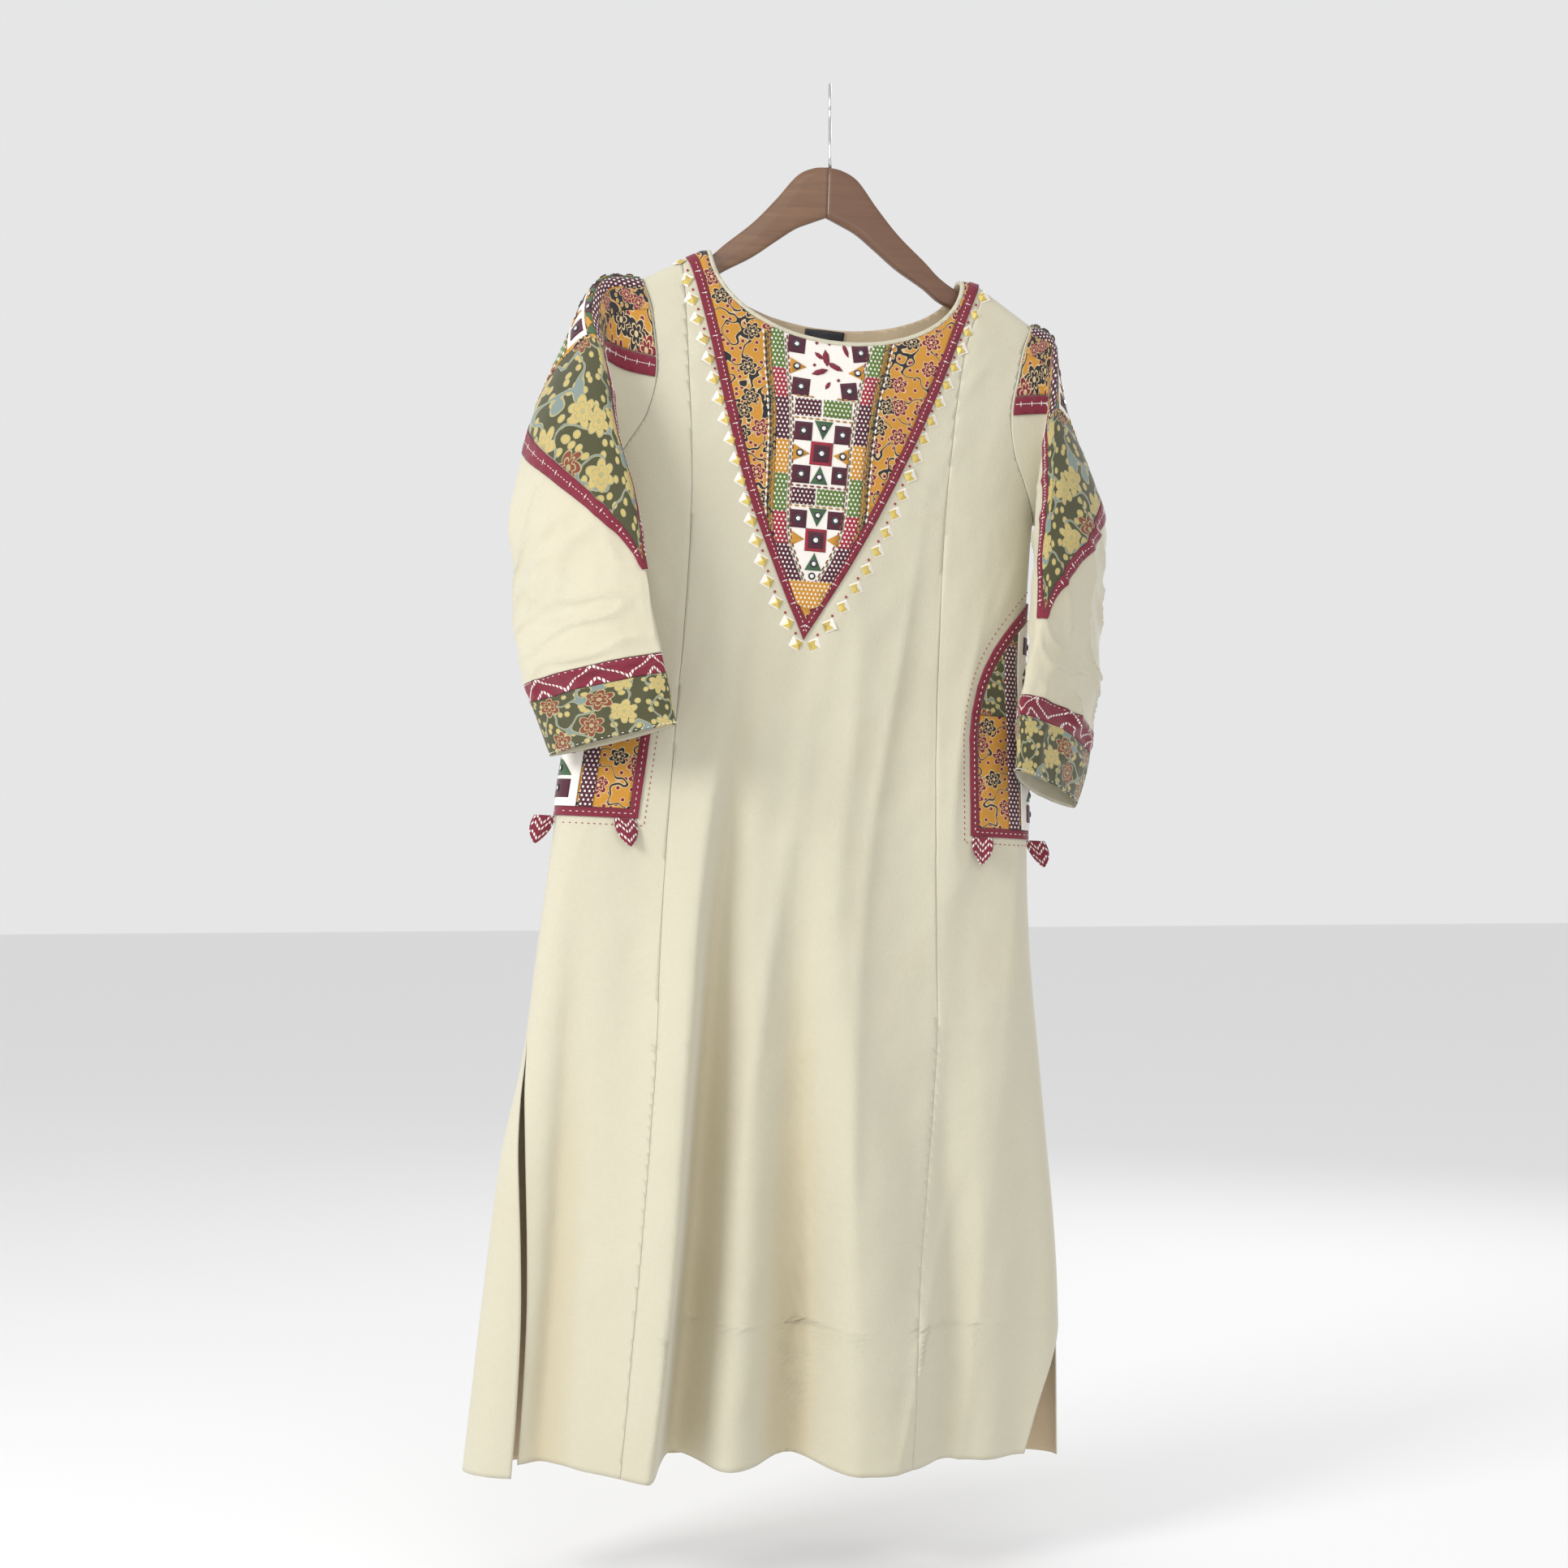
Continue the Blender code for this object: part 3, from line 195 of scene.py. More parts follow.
class Wire:
    """One shader socket, with arithmetic that adds maths nodes behind it."""

    def __init__(self, tree: bpy.types.NodeTree, socket: bpy.types.NodeSocket | None = None) -> None:
        self.tree = tree
        self.socket = socket

    def node(self, kind: str, settings: dict, values: dict, output: int | str = 0) -> "Wire":
        """Add any shader node.

        Args:
            kind: The node's type after "ShaderNode".
            settings: Its settings.
            values: Its sockets, each with a value or a wire.
            output: The output that is wanted.

        Returns:
            That output.
        """
        made = self.tree.nodes.new("ShaderNode" + kind)
        for key, value in settings.items():
            setattr(made, key, value)
        for key, value in values.items():
            if isinstance(value, Wire):
                self.tree.links.new(value.socket, made.inputs[key])
            else:
                made.inputs[key].default_value = value
        return Wire(self.tree, made.outputs[output])

    def maths(self, operation: str, *values: "Wire | float") -> "Wire":
        """Add a maths node."""
        return self.node("Math", {"operation": operation}, dict(enumerate(values)))

    def __add__(self, other: "Wire | float") -> "Wire":
        return self.maths("ADD", self, other)

    def __radd__(self, other: float) -> "Wire":
        return self.maths("ADD", other, self)

    def __sub__(self, other: "Wire | float") -> "Wire":
        return self.maths("SUBTRACT", self, other)

    def __rsub__(self, other: float) -> "Wire":
        return self.maths("SUBTRACT", other, self)

    def __mul__(self, other: "Wire | float") -> "Wire":
        return self.maths("MULTIPLY", self, other)

    def __rmul__(self, other: float) -> "Wire":
        return self.maths("MULTIPLY", other, self)

    def __truediv__(self, other: "Wire | float") -> "Wire":
        return self.maths("DIVIDE", self, other)

    def __lt__(self, other: "Wire | float") -> "Wire":
        return self.maths("LESS_THAN", self, other)

    def __gt__(self, other: "Wire | float") -> "Wire":
        return self.maths("GREATER_THAN", self, other)

    def __abs__(self) -> "Wire":
        return self.maths("ABSOLUTE", self)

    def part(self, axis: int) -> "Wire":
        """One axis of a vector."""
        return self.node("SeparateXYZ", {}, {0: self}, axis)

    def scaled(self, across: float, along: float) -> "Wire":
        """A vector stretched in its two flat measures."""
        return self.node("VectorMath", {"operation": "MULTIPLY"}, {0: self, 1: (across, along, 1.0)})

    def speckle(self, scale: float, detail: float = 2.0) -> "Wire":
        """Soft noise from 0 to 1 at this vector."""
        values = {"Vector": self, "Scale": scale, "Detail": detail}
        return self.node("TexNoise", {"noise_dimensions": "2D"}, values)

    def woven(self, fine: float, coarse: float) -> "Wire":
        """Noise drawn out along both ways of a weave, from 0 to 2."""
        return self.scaled(fine, coarse).speckle(1.0) + self.scaled(coarse, fine).speckle(1.0)

    def blend(self, first: "Wire | Colour", second: "Wire | Colour") -> "Wire":
        """The first colour where this is 0 and the second where it is 1."""
        settings = {"data_type": "RGBA", "clamp_factor": True}
        values = {0: self, MIX_FIRST: first, MIX_SECOND: second}
        return self.node("Mix", settings, values, MIX_COLOUR)


@dataclass(frozen=True)
class Finish:
    """A woven cloth of one colour; its subclasses add a print."""
    name: str
    colour: Colour
    roughness: float = 0.85
    sheen: float = 0.25
    metallic: float = 0.0
    slub: float = 0.10           # how far single threads differ in tone
    relief: float = 0.00022      # height of the weave

    def paint(self, place: Wire) -> Wire:
        """The cloth's colour at a place on its flat."""
        dark = tuple(channel * (1 - self.slub) for channel in self.colour[:3]) + (1.0,)
        light = tuple(min(channel * (1 + self.slub), 1.0) for channel in self.colour[:3]) + (1.0,)
        return (place.woven(900.0, 140.0) * 0.5).blend(dark, light)

    def build(self) -> bpy.types.Material:
        """The material, made once."""
        if self.name in bpy.data.materials:
            return bpy.data.materials[self.name]
        made = bpy.data.materials.new(self.name)
        made.use_nodes = True
        tree = made.node_tree
        shader = tree.nodes["Principled BSDF"]
        shader.inputs["Roughness"].default_value = self.roughness
        shader.inputs["Metallic"].default_value = self.metallic
        shader.inputs["Sheen Weight"].default_value = self.sheen
        self.dress(Wire(tree), shader)
        return made

    def dress(self, wire: Wire, shader: bpy.types.Node) -> None:
        """Wire the colour and the weave's relief into the shader."""
        place = wire.node("UVMap", {"uv_map": "cloth"}, {})
        wire.tree.links.new(self.paint(place).socket, shader.inputs["Base Color"])
        values = {"Strength": 0.7, "Distance": self.relief, "Height": place.woven(700.0, 110.0)}
        wire.tree.links.new(wire.node("Bump", {}, values).socket, shader.inputs["Normal"])


@dataclass(frozen=True)
class Cotton(Finish):
    """Undyed cotton with painted shade: warmer where folds lie deep, standing in for light that comes through
    two layers.
    """
    # painted shade: the colour and share of the warm shade drawn into deep folds
    fold_colour: Colour = Tone.WARM.value
    fold_share: float = 0.55
    mottle_share: float = 0.35

    def paint(self, place: Wire) -> Wire:
        """Cream, mottled, with a warm painted shade in the folds' hollows."""
        plain = Finish.paint(self, place)
        # painted shade: deep folds are drawn warmer and darker, mixed with random mottle
        hollow = place.node("Attribute", {"attribute_name": "hollow"}, {}, "Fac")
        mottle = place.speckle(9.0, 4.0) - 0.5
        shade_and_mottle = hollow * self.fold_share + mottle * self.mottle_share
        return shade_and_mottle.blend(plain, self.fold_colour)


@dataclass(frozen=True)
class Dotted(Finish):
    """Cloth covered in short white stitches in staggered rows."""
    pitch: float = 0.0040
    dot_width: float = 0.20          # half a dash's size as a share of the pitch
    dot_height: float = 0.24
    dot_colour: Colour = Tone.WHITE.value

    def paint(self, place: Wire) -> Wire:
        """Staggered short dashes."""
        row = place.part(1) / self.pitch
        shifted = place.part(0) / self.pitch + row.maths("FLOOR", row) * 0.5
        across = abs(shifted.maths("FRACT", shifted) - 0.5)
        along = abs(row.maths("FRACT", row) - 0.5)
        dot = (across < self.dot_width) * (along < self.dot_height)
        return dot.blend(Finish.paint(self, place), self.dot_colour)


@dataclass(frozen=True)
class Zigzag(Finish):
    """Tie-dyed cloth with a zigzag of pale dots."""
    period: float = 0.042
    height: float = 0.0175
    repeat: float = 0.030
    line: float = 0.0012
    nested: float = 0.75             # how far below the outer zigzag the inner one lies, in heights
    bead_pitch: float = 0.0026
    bead_share: float = 0.62         # how much of the pitch one dot takes
    dot_colour: Colour = Tone.WHITE.value

    def paint(self, place: Wire) -> Wire:
        """Two zigzags, one inside the other, broken into dots."""
        across = place.part(0) / self.period
        wave = abs(across.maths("FRACT", across) - 0.5) * 2.0 * self.height
        down = place.part(1)
        down = down - down.maths("SNAP", down, self.repeat)
        beads = place.part(0) / self.bead_pitch
        bead = beads.maths("FRACT", beads) < self.bead_share
        inner = abs(down - wave - self.height * self.nested) < self.line
        near = (abs(down - wave) < self.line) + inner
        return (near * bead).blend(Finish.paint(self, place), self.dot_colour)


@dataclass(frozen=True)
class Print(Finish):
    """A block print of flowers, stems and buds over a ground colour."""
    petals: Colour = Tone.MAROON.value
    second: Colour = Tone.BLACK.value
    outline: Colour = Tone.WHITE.value
    stem: Colour = Tone.BLACK.value
    bud: Colour = Tone.MAROON.value
    size: float = 0.030          # distance from flower to flower; the rest are shares of it
    petal_count: float = 6.0
    petal_start: float = 0.17
    petal_length: float = 0.15
    rim: float = 0.035
    eye: float = 0.06
    vein: float = 0.018
    buds: float = 3.1            # buds to a flower, along a line
    bud_radius: float = 0.19
    bud_rim: float = 0.26
    loops: float = 1.15
    stem_half: float = 0.017
    stem_rim: float = 0.029

    def paint(self, place: Wire) -> Wire:
        """Buds first, stems over them, then outlined flowers."""
        cells = {"voronoi_dimensions": "2D"}
        colour = Finish.paint(self, place)
        bud = place.node("TexVoronoi", cells, {"Vector": place, "Scale": self.buds / self.size})
        colour = (bud < self.bud_rim).blend(colour, self.outline)
        colour = (bud < self.bud_radius).blend(colour, self.bud)
        stem = abs(place.speckle(self.loops / self.size, 1.0) - 0.5)
        colour = (stem < self.stem_rim).blend(colour, self.outline)
        colour = (stem < self.stem_half).blend(colour, self.stem)
        flower = {"Vector": place, "Scale": 1 / self.size, "Randomness": 0.8}
        middle = place.node("TexVoronoi", cells, flower, "Position")
        shade = place.node("TexVoronoi", cells, flower, "Color")
        arm = place.node("VectorMath", {"operation": "SUBTRACT"}, {0: place, 1: middle})
        turn = arm.maths("ARCTAN2", arm.part(1), arm.part(0))
        reach = arm.node("VectorMath", {"operation": "LENGTH"}, {0: arm}, "Value") / self.size
        turned = turn * self.petal_count + place.speckle(60.0, 1.0) * 3.0
        petal = abs(turned.maths("COSINE", turned * 0.5)) * self.petal_length + self.petal_start
        inside = (shade.part(0) > 0.5).blend(self.petals, self.second)
        inside = (abs(reach - petal * 0.6) < self.vein).blend(inside, self.outline)
        inside = (reach < self.eye).blend(inside, self.outline)
        colour = (reach < petal + self.rim).blend(colour, self.outline)
        return (reach < petal).blend(colour, inside)


@dataclass(frozen=True)
class Wood(Finish):
    """Stained wood with its grain along the arm."""
    dark: Colour = Tone.WOOD_DARK.value

    def dress(self, wire: Wire, shader: bpy.types.Node) -> None:
        """Grain in colour and gloss under a thin lacquer."""
        along_arm = {0: wire.node("TexCoord", {}, {}, "Object"), 1: (14.0, 160.0, 160.0)}
        place = wire.node("VectorMath", {"operation": "MULTIPLY"}, along_arm)
        values = {"Vector": place, "Scale": 1.0, "Detail": 5.0, "Distortion": 0.6}
        grain = wire.node("TexNoise", {}, values)
        wire.tree.links.new(grain.blend(self.dark, self.colour).socket, shader.inputs["Base Color"])
        wire.tree.links.new((grain * 0.2 + 0.3).socket, shader.inputs["Roughness"])
        shader.inputs["Coat Weight"].default_value = 0.25


@dataclass(frozen=True)
class Hard(Finish):
    """Plain metal, glass or paint."""
    sheen: float = 0.0

    def dress(self, wire: Wire, shader: bpy.types.Node) -> None:
        """One even colour."""
        shader.inputs["Base Color"].default_value = self.colour


@dataclass(frozen=True)
class Strand(Hard):
    """Sewing thread."""
    roughness: float = 0.7
    sheen: float = 0.25


COTTON = Cotton("cotton", Tone.CREAM.value, sheen=0.35, slub=0.05)
# painted shade: the back panel's inner face, the same cotton drawn darker and warmer
INSIDE_SHADE = Finish("cotton_inside", Tone.BEIGE.value, slub=0.05)
MAROON = Finish("maroon_cotton", Tone.MAROON.value, slub=0.18)
LABEL = Finish("label_satin", Tone.BLACK.value, roughness=0.45)
TIE_DYE = Zigzag("maroon_tie_dye", Tone.MAROON.value, slub=0.18)
TIE_DYE_SMALL = Zigzag(
    "maroon_tie_dye_small", Tone.MAROON.value, slub=0.18, period=0.014, height=0.008, repeat=0.014)
OLIVE_PRINT = Print(
    "olive_print", Tone.OLIVE.value, petals=Tone.STRAW.value, second=Tone.RUST.value,
    outline=(0.36, 0.33, 0.16, 1.0), stem=Tone.SLATE.value, bud=Tone.STRAW.value, size=0.029)
MUSTARD_PRINT = Print(
    "mustard_print", Tone.MUSTARD.value, petals=Tone.MAROON.value, second=Tone.BLACK.value,
    outline=(0.62, 0.45, 0.24, 1.0), stem=Tone.BLACK.value, bud=Tone.MAROON.value, size=0.027)
DARK_PRINT = Print(
    "dark_print", Tone.BLACK.value, petals=Tone.MUSTARD.value, second=Tone.MAROON.value,
    outline=(0.50, 0.36, 0.20, 1.0), stem=Tone.MUSTARD.value, bud=Tone.GOLD_THREAD.value, size=0.018)
WHITE_PATCH = Finish("white_patch", Tone.WHITE.value)
PLUM_PATCH = Finish("plum_patch", Tone.PLUM.value, slub=0.2)
CRIMSON_PATCH = Finish("crimson_patch", Tone.CRIMSON.value, slub=0.2)
GREEN_PATCH = Finish("green_patch", Tone.BOTTLE.value, slub=0.2)
MUSTARD_PATCH = Finish("mustard_patch", Tone.MUSTARD.value, slub=0.15)
DOTTED_GREEN = Dotted("dotted_green", Tone.LEAF.value)
DOTTED_RED = Dotted("dotted_red", Tone.CRIMSON.value)
DOTTED_PLUM = Dotted("dotted_plum", Tone.PLUM.value)
DOTTED_MUSTARD = Dotted("dotted_mustard", Tone.MUSTARD.value)
WHITE_THREAD = Strand("white_thread", Tone.WHITE.value)
OLIVE_THREAD = Strand("olive_thread", Tone.OLIVE_THREAD.value)
GOLD_THREAD = Strand("gold_thread", Tone.GOLD_THREAD.value)
MAROON_THREAD = Strand("maroon_thread", Tone.CRIMSON.value)
RUST_THREAD = Strand("rust_thread", Tone.RUST.value)
BLACK_THREAD = Strand("black_thread", Tone.BLACK.value)
MIRROR = Hard("mirror_glass", (0.92, 0.92, 0.90, 1.0), roughness=0.18, metallic=0.8)
GOLD = Hard("gold_foil", (0.72, 0.56, 0.16, 1.0), roughness=0.3, metallic=0.7)
STEEL = Hard("steel_wire", (0.62, 0.62, 0.61, 1.0), roughness=0.28, metallic=1.0)
WOOD_LEFT = Wood("wood_left", Tone.WOOD_LIGHT.value, roughness=0.4, sheen=0.0)
WOOD_RIGHT = Wood("wood_right", (0.19, 0.092, 0.048, 1.0), roughness=0.4, sheen=0.0)
PALE = Hard("pale_backdrop", (0.86, 0.86, 0.86, 1.0), roughness=0.9)


# Cloth

def keep(across: float, along: float) -> Flat:
    """The flat place of a sheet that is already measured in metres."""
    return across, along


class Spot(NamedTuple):
    """A point of a sheet, its place on the flat, and the painted shade that its depth in a fold gives it (0
    to 1).
    """
    point: Vector
    flat: Flat
    hollow: float = 0.0


@dataclass
class Sheet:
    """A dense grid of cloth from which pieces are cut.

    Its normals are taken from its own facets, so that a wall on it keeps its thickness.
    """
    rows: list[list[Spot]]
    tube: bool = False
    outward: Vector | None = None        # on the outer side, for a sheet too flat to tell
    normals: list[list[Vector]] = field(init=False)

    def __post_init__(self) -> None:
        """Measure the outward normals."""
        bm = bmesh.new()
        columns = len(self.rows[0])
        made = self.lay(bm, self.rows)
        for vert, spot in zip(made, (spot for row in self.rows for spot in row)):
            vert.co = spot.point
        if self.tube:
            lasts = range(columns - 1, len(made), columns)
            bmesh.ops.weld_verts(bm, targetmap={made[last]: made[last + 1 - columns] for last in lasts})
            for last in lasts:
                made[last] = made[last + 1 - columns]
        bm.normal_update()
        facing = 0.0
        for index, row in enumerate(self.rows):
            middle = sum((spot.point for spot in row), Vector()) / columns
            for vert, spot in zip(made[index * columns:], row):
                facing += vert.normal.dot(self.outward or spot.point - middle)
        sign = math.copysign(1.0, facing)
        outs = [vert.normal * min(vert.calc_shell_factor(), MOST_SHELL) * sign for vert in made]
        bm.free()
        self.normals = [outs[start:start + columns] for start in range(0, len(outs), columns)]

    @staticmethod
    def lay(bm: bmesh.types.BMesh, rows: Sequence[Sequence]) -> list[bmesh.types.BMVert]:
        """An open grid with as many rows and columns as a table."""
        made = bmesh.ops.create_grid(bm, x_segments=len(rows[0]) - 1, y_segments=len(rows) - 1, size=0.5)
        return made["verts"]

    def ground(self, low: Flat = (-99.0, -99.0), high: Flat = (99.0, 99.0)) -> bmesh.types.BMesh:
        """The sheet's facets round a box on the flat.

        Args:
            low: The box's lowest flat place.
            high: Its highest.

        Returns:
            A mesh whose points carry their spot, normal, flat place and painted fold shade.
        """
        rows, columns = range(len(self.rows)), range(len(self.rows[0]))

        def near(row: int, column: int) -> bool:
            """Whether a spot is inside the box."""
            x, y = self.rows[row][column].flat
            return low[0] <= x <= high[0] and low[1] <= y <= high[1]

        kept = [(row, column) for row in rows for column in columns if near(row, column)]
        top = max(min(row for row, _ in kept) - 1, 0)
        end = min(max(row for row, _ in kept) + 2, len(rows))
        left = max(min(column for _, column in kept) - 1, 0)
        right = min(max(column for _, column in kept) + 2, len(columns))
        bm = bmesh.new()
        spot_key, normal_key, flat_key = (
            bm.verts.layers.float_vector.new(key) for key in ("spot", "normal", "flat"))
        fold_shade_key = bm.verts.layers.float.new("hollow")
        made = iter(self.lay(bm, [row[left:right] for row in self.rows[top:end]]))
        for row in range(top, end):
            for column in range(left, right):
                vert, spot = next(made), self.rows[row][column]
                vert[spot_key] = spot.point
                vert[normal_key] = self.normals[row][column]
                vert[flat_key] = (*spot.flat, 0.0)
                vert[fold_shade_key] = spot.hollow
        return bm


def cut(bm: bmesh.types.BMesh, edge: Field, keep_all: bool = False) -> None:
    """Cut the ground where a field of the flat is zero and keep the part where it is positive."""
    flat = bm.verts.layers.float_vector["flat"]
    for vert in bm.verts:
        x, y, _ = vert[flat]
        vert.co = (edge(x, y), x, y)
    bmesh.ops.bisect_plane(
        bm, geom=[*bm.verts, *bm.edges, *bm.faces], dist=1e-5,
        plane_co=(0.0, 0.0, 0.0), plane_no=(1.0, 0.0, 0.0), clear_inner=not keep_all,
    )


def cut_outline(bm: bmesh.types.BMesh, outline: Sequence[Flat]) -> None:
    """Keep what lies inside a convex outline on the flat."""
    pairs = list(zip(outline, [*outline[1:], outline[0]]))
    turn = math.copysign(1.0, sum(a[0] * b[1] - b[0] * a[1] for a, b in pairs))
    for start, end in pairs:
        run, rise = end[0] - start[0], end[1] - start[1]
        length = math.hypot(run, rise) * turn
        cut(bm, lambda x, y: (run * (y - start[1]) - rise * (x - start[0])) / length)


@dataclass
class Piece:
    """One closed piece of cloth cut from a sheet.

    Args:
        name: The piece's name.
        finish: Its cloth.
        low, high: Where its inner and outer faces stand over the sheet.
        node: The CAD node that it replaces.
        slot: The name of its material slot, handed on to show.
        lining: The finish of its inner face, where that differs: the cotton in painted shade inside the back,
            the cream cotton inside the cuff band.
    """
    name: str
    finish: Finish
    low: float = LIE
    high: float = LIE + PATCH
    node: str = ""
    slot: str = ""
    lining: Finish | None = None

    def build(self, bm: bmesh.types.BMesh, in_metres: Chart = keep) -> bpy.types.Object:
        """Close the cut ground into a wall and show it.

        Args:
            bm: The ground, already cut.
            in_metres: What turns the ground's flat place into metres of cloth.

        Returns:
            The shown piece.
        """
        spot, normal, flat = (bm.verts.layers.float_vector[key] for key in ("spot", "normal", "flat"))
        chart = bm.loops.layers.uv.new("cloth")
        for face in bm.faces:
            for loop in face.loops:
                x, y, _ = loop.vert[flat]
                loop[chart].uv = in_metres(x, y)
        for vert in bm.verts:
            vert.co = vert[spot]
        bmesh.ops.remove_doubles(bm, verts=bm.verts, dist=5e-5)
        made = bmesh.ops.extrude_face_region(bm, geom=bm.faces[:])["geom"]
        top = {item for item in made if isinstance(item, bmesh.types.BMVert)}
        for vert in bm.verts:
            vert.co = vert[spot] + vert[normal] * (self.high if vert in top else self.low)
        bmesh.ops.recalc_face_normals(bm, faces=bm.faces)
        if self.lining:
            for face in bm.faces:
                face.material_index = int(not any(vert in top for vert in face.verts))
        finishes = [self.finish] + ([self.lining] if self.lining else [])
        return show(self.name, bm, finishes, self.node, self.slot)


def show(
    name: str, bm: bmesh.types.BMesh, finishes: Iterable[Finish], node: str = "", slot: str = ""
) -> bpy.types.Object:
    """Turn a mesh into a shown piece that rides on the object.

    Args:
        name: The piece's name.
        bm: Its mesh.
        finishes: Its materials, in the order of the faces' indices.
        node: The CAD node that it replaces.
        slot: Its material slot; not used.

    Returns:
        The shown piece.
    """
    mesh = bpy.data.meshes.new(name)
    bm.to_mesh(mesh)
    bm.free()
    mesh.shade_smooth()
    for finish in finishes:
        mesh.materials.append(finish.build())
    piece = bpy.data.objects.new(name, mesh)
    bpy.context.scene.collection.objects.link(piece)
    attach(piece, "root")
    if node:
        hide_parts(node)
    LOG.info("%s: %d faces", name, len(mesh.polygons))
    return piece


def declare_sheet(piece: bpy.types.Object) -> None:
    """Measure a piece's flat cut over its outer face; the measures are not kept."""
    mesh = piece.data
    area = sum(face.area for face in mesh.polygons) / 2
    chart = mesh.uv_layers["cloth"].uv
    across = [item.vector.x for item in chart]
    along = [item.vector.y for item in chart]
    width, length = max(across) - min(across), max(along) - min(along)
    grow = max(math.sqrt(area / (width * length)), 1.0)
    width, length = width * grow, length * grow


# Body

class Section(NamedTuple):
    """A level section of the body."""
    drop: float
    centre: float
    half: float
    front: float
    back: float


class Armhole(NamedTuple):
    """Half the width between the armholes."""
    drop: float
    half: float


class Princess(NamedTuple):
    """The offsets of the two front seams."""
    drop: float
    left: float
    right: float


class Slit(NamedTuple):
    """How far the slit's edges have swung in from the side."""
    drop: float
    left: float
    right: float


class Fold(NamedTuple):
    """A fold from a drop and an offset to an offset at the hem, where it stands out or in."""
    start: float
    at_start: float
    at_hem: float
    height: float
    left: float
    right: float


class Crease(NamedTuple):
    """A short ridge in the cloth between two places."""
    offset: float
    drop: float
    end_offset: float
    end_drop: float
    height: float
    width: float

    def rise(self, offset: float, drop: float) -> float:
        """How far the ridge lifts the cloth; it fades out past both of its ends."""
        run, fall = self.end_offset - self.offset, self.end_drop - self.drop
        length = math.hypot(run, fall)
        along = ((offset - self.offset) * run + (drop - self.drop) * fall) / length ** 2
        if not -0.3 < along < 1.3:
            return 0.0
        away = ((offset - self.offset) * fall - (drop - self.drop) * run) / length
        away += noise.noise((along * 3, self.drop * 40, 2.0)) * 0.003
        return self.height * bell(away, self.width) * math.cos((along - 0.5) * math.pi / 1.6) ** 2


SECTIONS = (
    Section(0.170, 0.010, 0.340, 0.042, 0.036),
    Section(0.210, 0.008, 0.320, 0.042, 0.036),
    Section(0.260, 0.004, 0.280, 0.042, 0.037),
    Section(0.300, 0.000, 0.250, 0.043, 0.038),
    Section(0.340, -0.004, 0.228, 0.044, 0.038),
    Section(0.370, -0.007, 0.219, 0.044, 0.039),
    Section(0.405, -0.010, 0.214, 0.044, 0.040),
    Section(0.470, -0.015, 0.2135, 0.045, 0.041),
    Section(0.550, -0.021, 0.2145, 0.046, 0.042),
    Section(0.655, -0.030, 0.226, 0.047, 0.044),
    Section(0.810, -0.040, 0.239, 0.050, 0.046),
    Section(0.950, -0.043, 0.254, 0.052, 0.048),
    Section(1.130, -0.047, 0.273, 0.056, 0.050),
    Section(1.330, -0.057, 0.286, 0.060, 0.052),
)
ARMHOLE = (
    Armhole(0.210, 0.1940),
    Armhole(0.235, 0.1850),
    Armhole(0.260, 0.1800),
    Armhole(0.300, 0.1745),
    Armhole(0.340, 0.1810),
    Armhole(0.370, 0.1960),
    Armhole(0.405, 0.2140),
)
PRINCESS = (
    Princess(0.180, 0.158, 0.143),
    Princess(0.260, 0.150, 0.122),
    Princess(0.410, 0.134, 0.115),
    Princess(0.620, 0.133, 0.121),
    Princess(0.900, 0.138, 0.134),
    Princess(1.150, 0.154, 0.116),
    Princess(1.320, 0.163, 0.114),
)
SLITS = (
    Slit(0.925, 0.0000, 0.000),
    Slit(0.980, 0.0030, 0.000),
    Slit(1.116, 0.0200, 0.000),
    Slit(1.180, 0.0265, 0.000),
    Slit(1.260, 0.0310, 0.031),
    Slit(1.330, 0.0330, 0.056),
)
FOLDS = {
    Face.FRONT: (
        Fold(0.72, -0.210, -0.226, -0.020, 0.018, 0.030),
        Fold(0.46, -0.082, -0.138, 0.034, 0.052, 0.013),
        Fold(0.44, -0.062, -0.103, -0.036, 0.017, 0.026),
        Fold(0.70, -0.030, -0.060, 0.014, 0.024, 0.034),
        Fold(0.62, -0.002, 0.010, -0.030, 0.040, 0.018),
        Fold(0.66, 0.030, 0.060, 0.034, 0.028, 0.085),
        Fold(0.80, 0.142, 0.150, -0.012, 0.022, 0.022),
        Fold(0.60, 0.168, 0.196, 0.008, 0.026, 0.034),
    ),
    Face.BACK: (
        Fold(0.60, -0.150, -0.180, 0.014, 0.040, 0.040),
        Fold(0.48, -0.070, -0.095, -0.018, 0.034, 0.034),
        Fold(0.55, 0.000, -0.005, 0.016, 0.040, 0.040),
        Fold(0.48, 0.065, 0.090, -0.018, 0.034, 0.034),
        Fold(0.60, 0.150, 0.175, 0.014, 0.040, 0.040),
    ),
}
CREASES = (
    Crease(0.070, 0.372, 0.108, 0.398, 0.0016, 0.0040),
    Crease(0.078, 0.400, 0.112, 0.418, 0.0014, 0.0035),
    Crease(-0.118, 0.412, -0.160, 0.400, 0.0012, 0.0035),
    Crease(-0.120, 0.300, -0.145, 0.262, 0.0014, 0.0050),
    Crease(0.118, 0.300, 0.150, 0.250, 0.0016, 0.0060),
    Crease(-0.205, 0.420, -0.150, 0.520, 0.0022, 0.0090),
    Crease(0.208, 0.420, 0.160, 0.540, 0.0022, 0.0090),
    Crease(-0.040, 0.735, 0.070, 0.730, 0.0011, 0.0028),
    Crease(-0.200, 0.738, -0.120, 0.742, 0.0012, 0.0028),
    Crease(0.120, 0.905, 0.225, 0.895, 0.0012, 0.0030),
    Crease(-0.090, 0.902, -0.010, 0.912, 0.0010, 0.0028),
    Crease(-0.150, 1.245, -0.060, 1.238, 0.0012, 0.0030),
    Crease(0.080, 1.247, 0.150, 1.250, 0.0010, 0.0040),
)


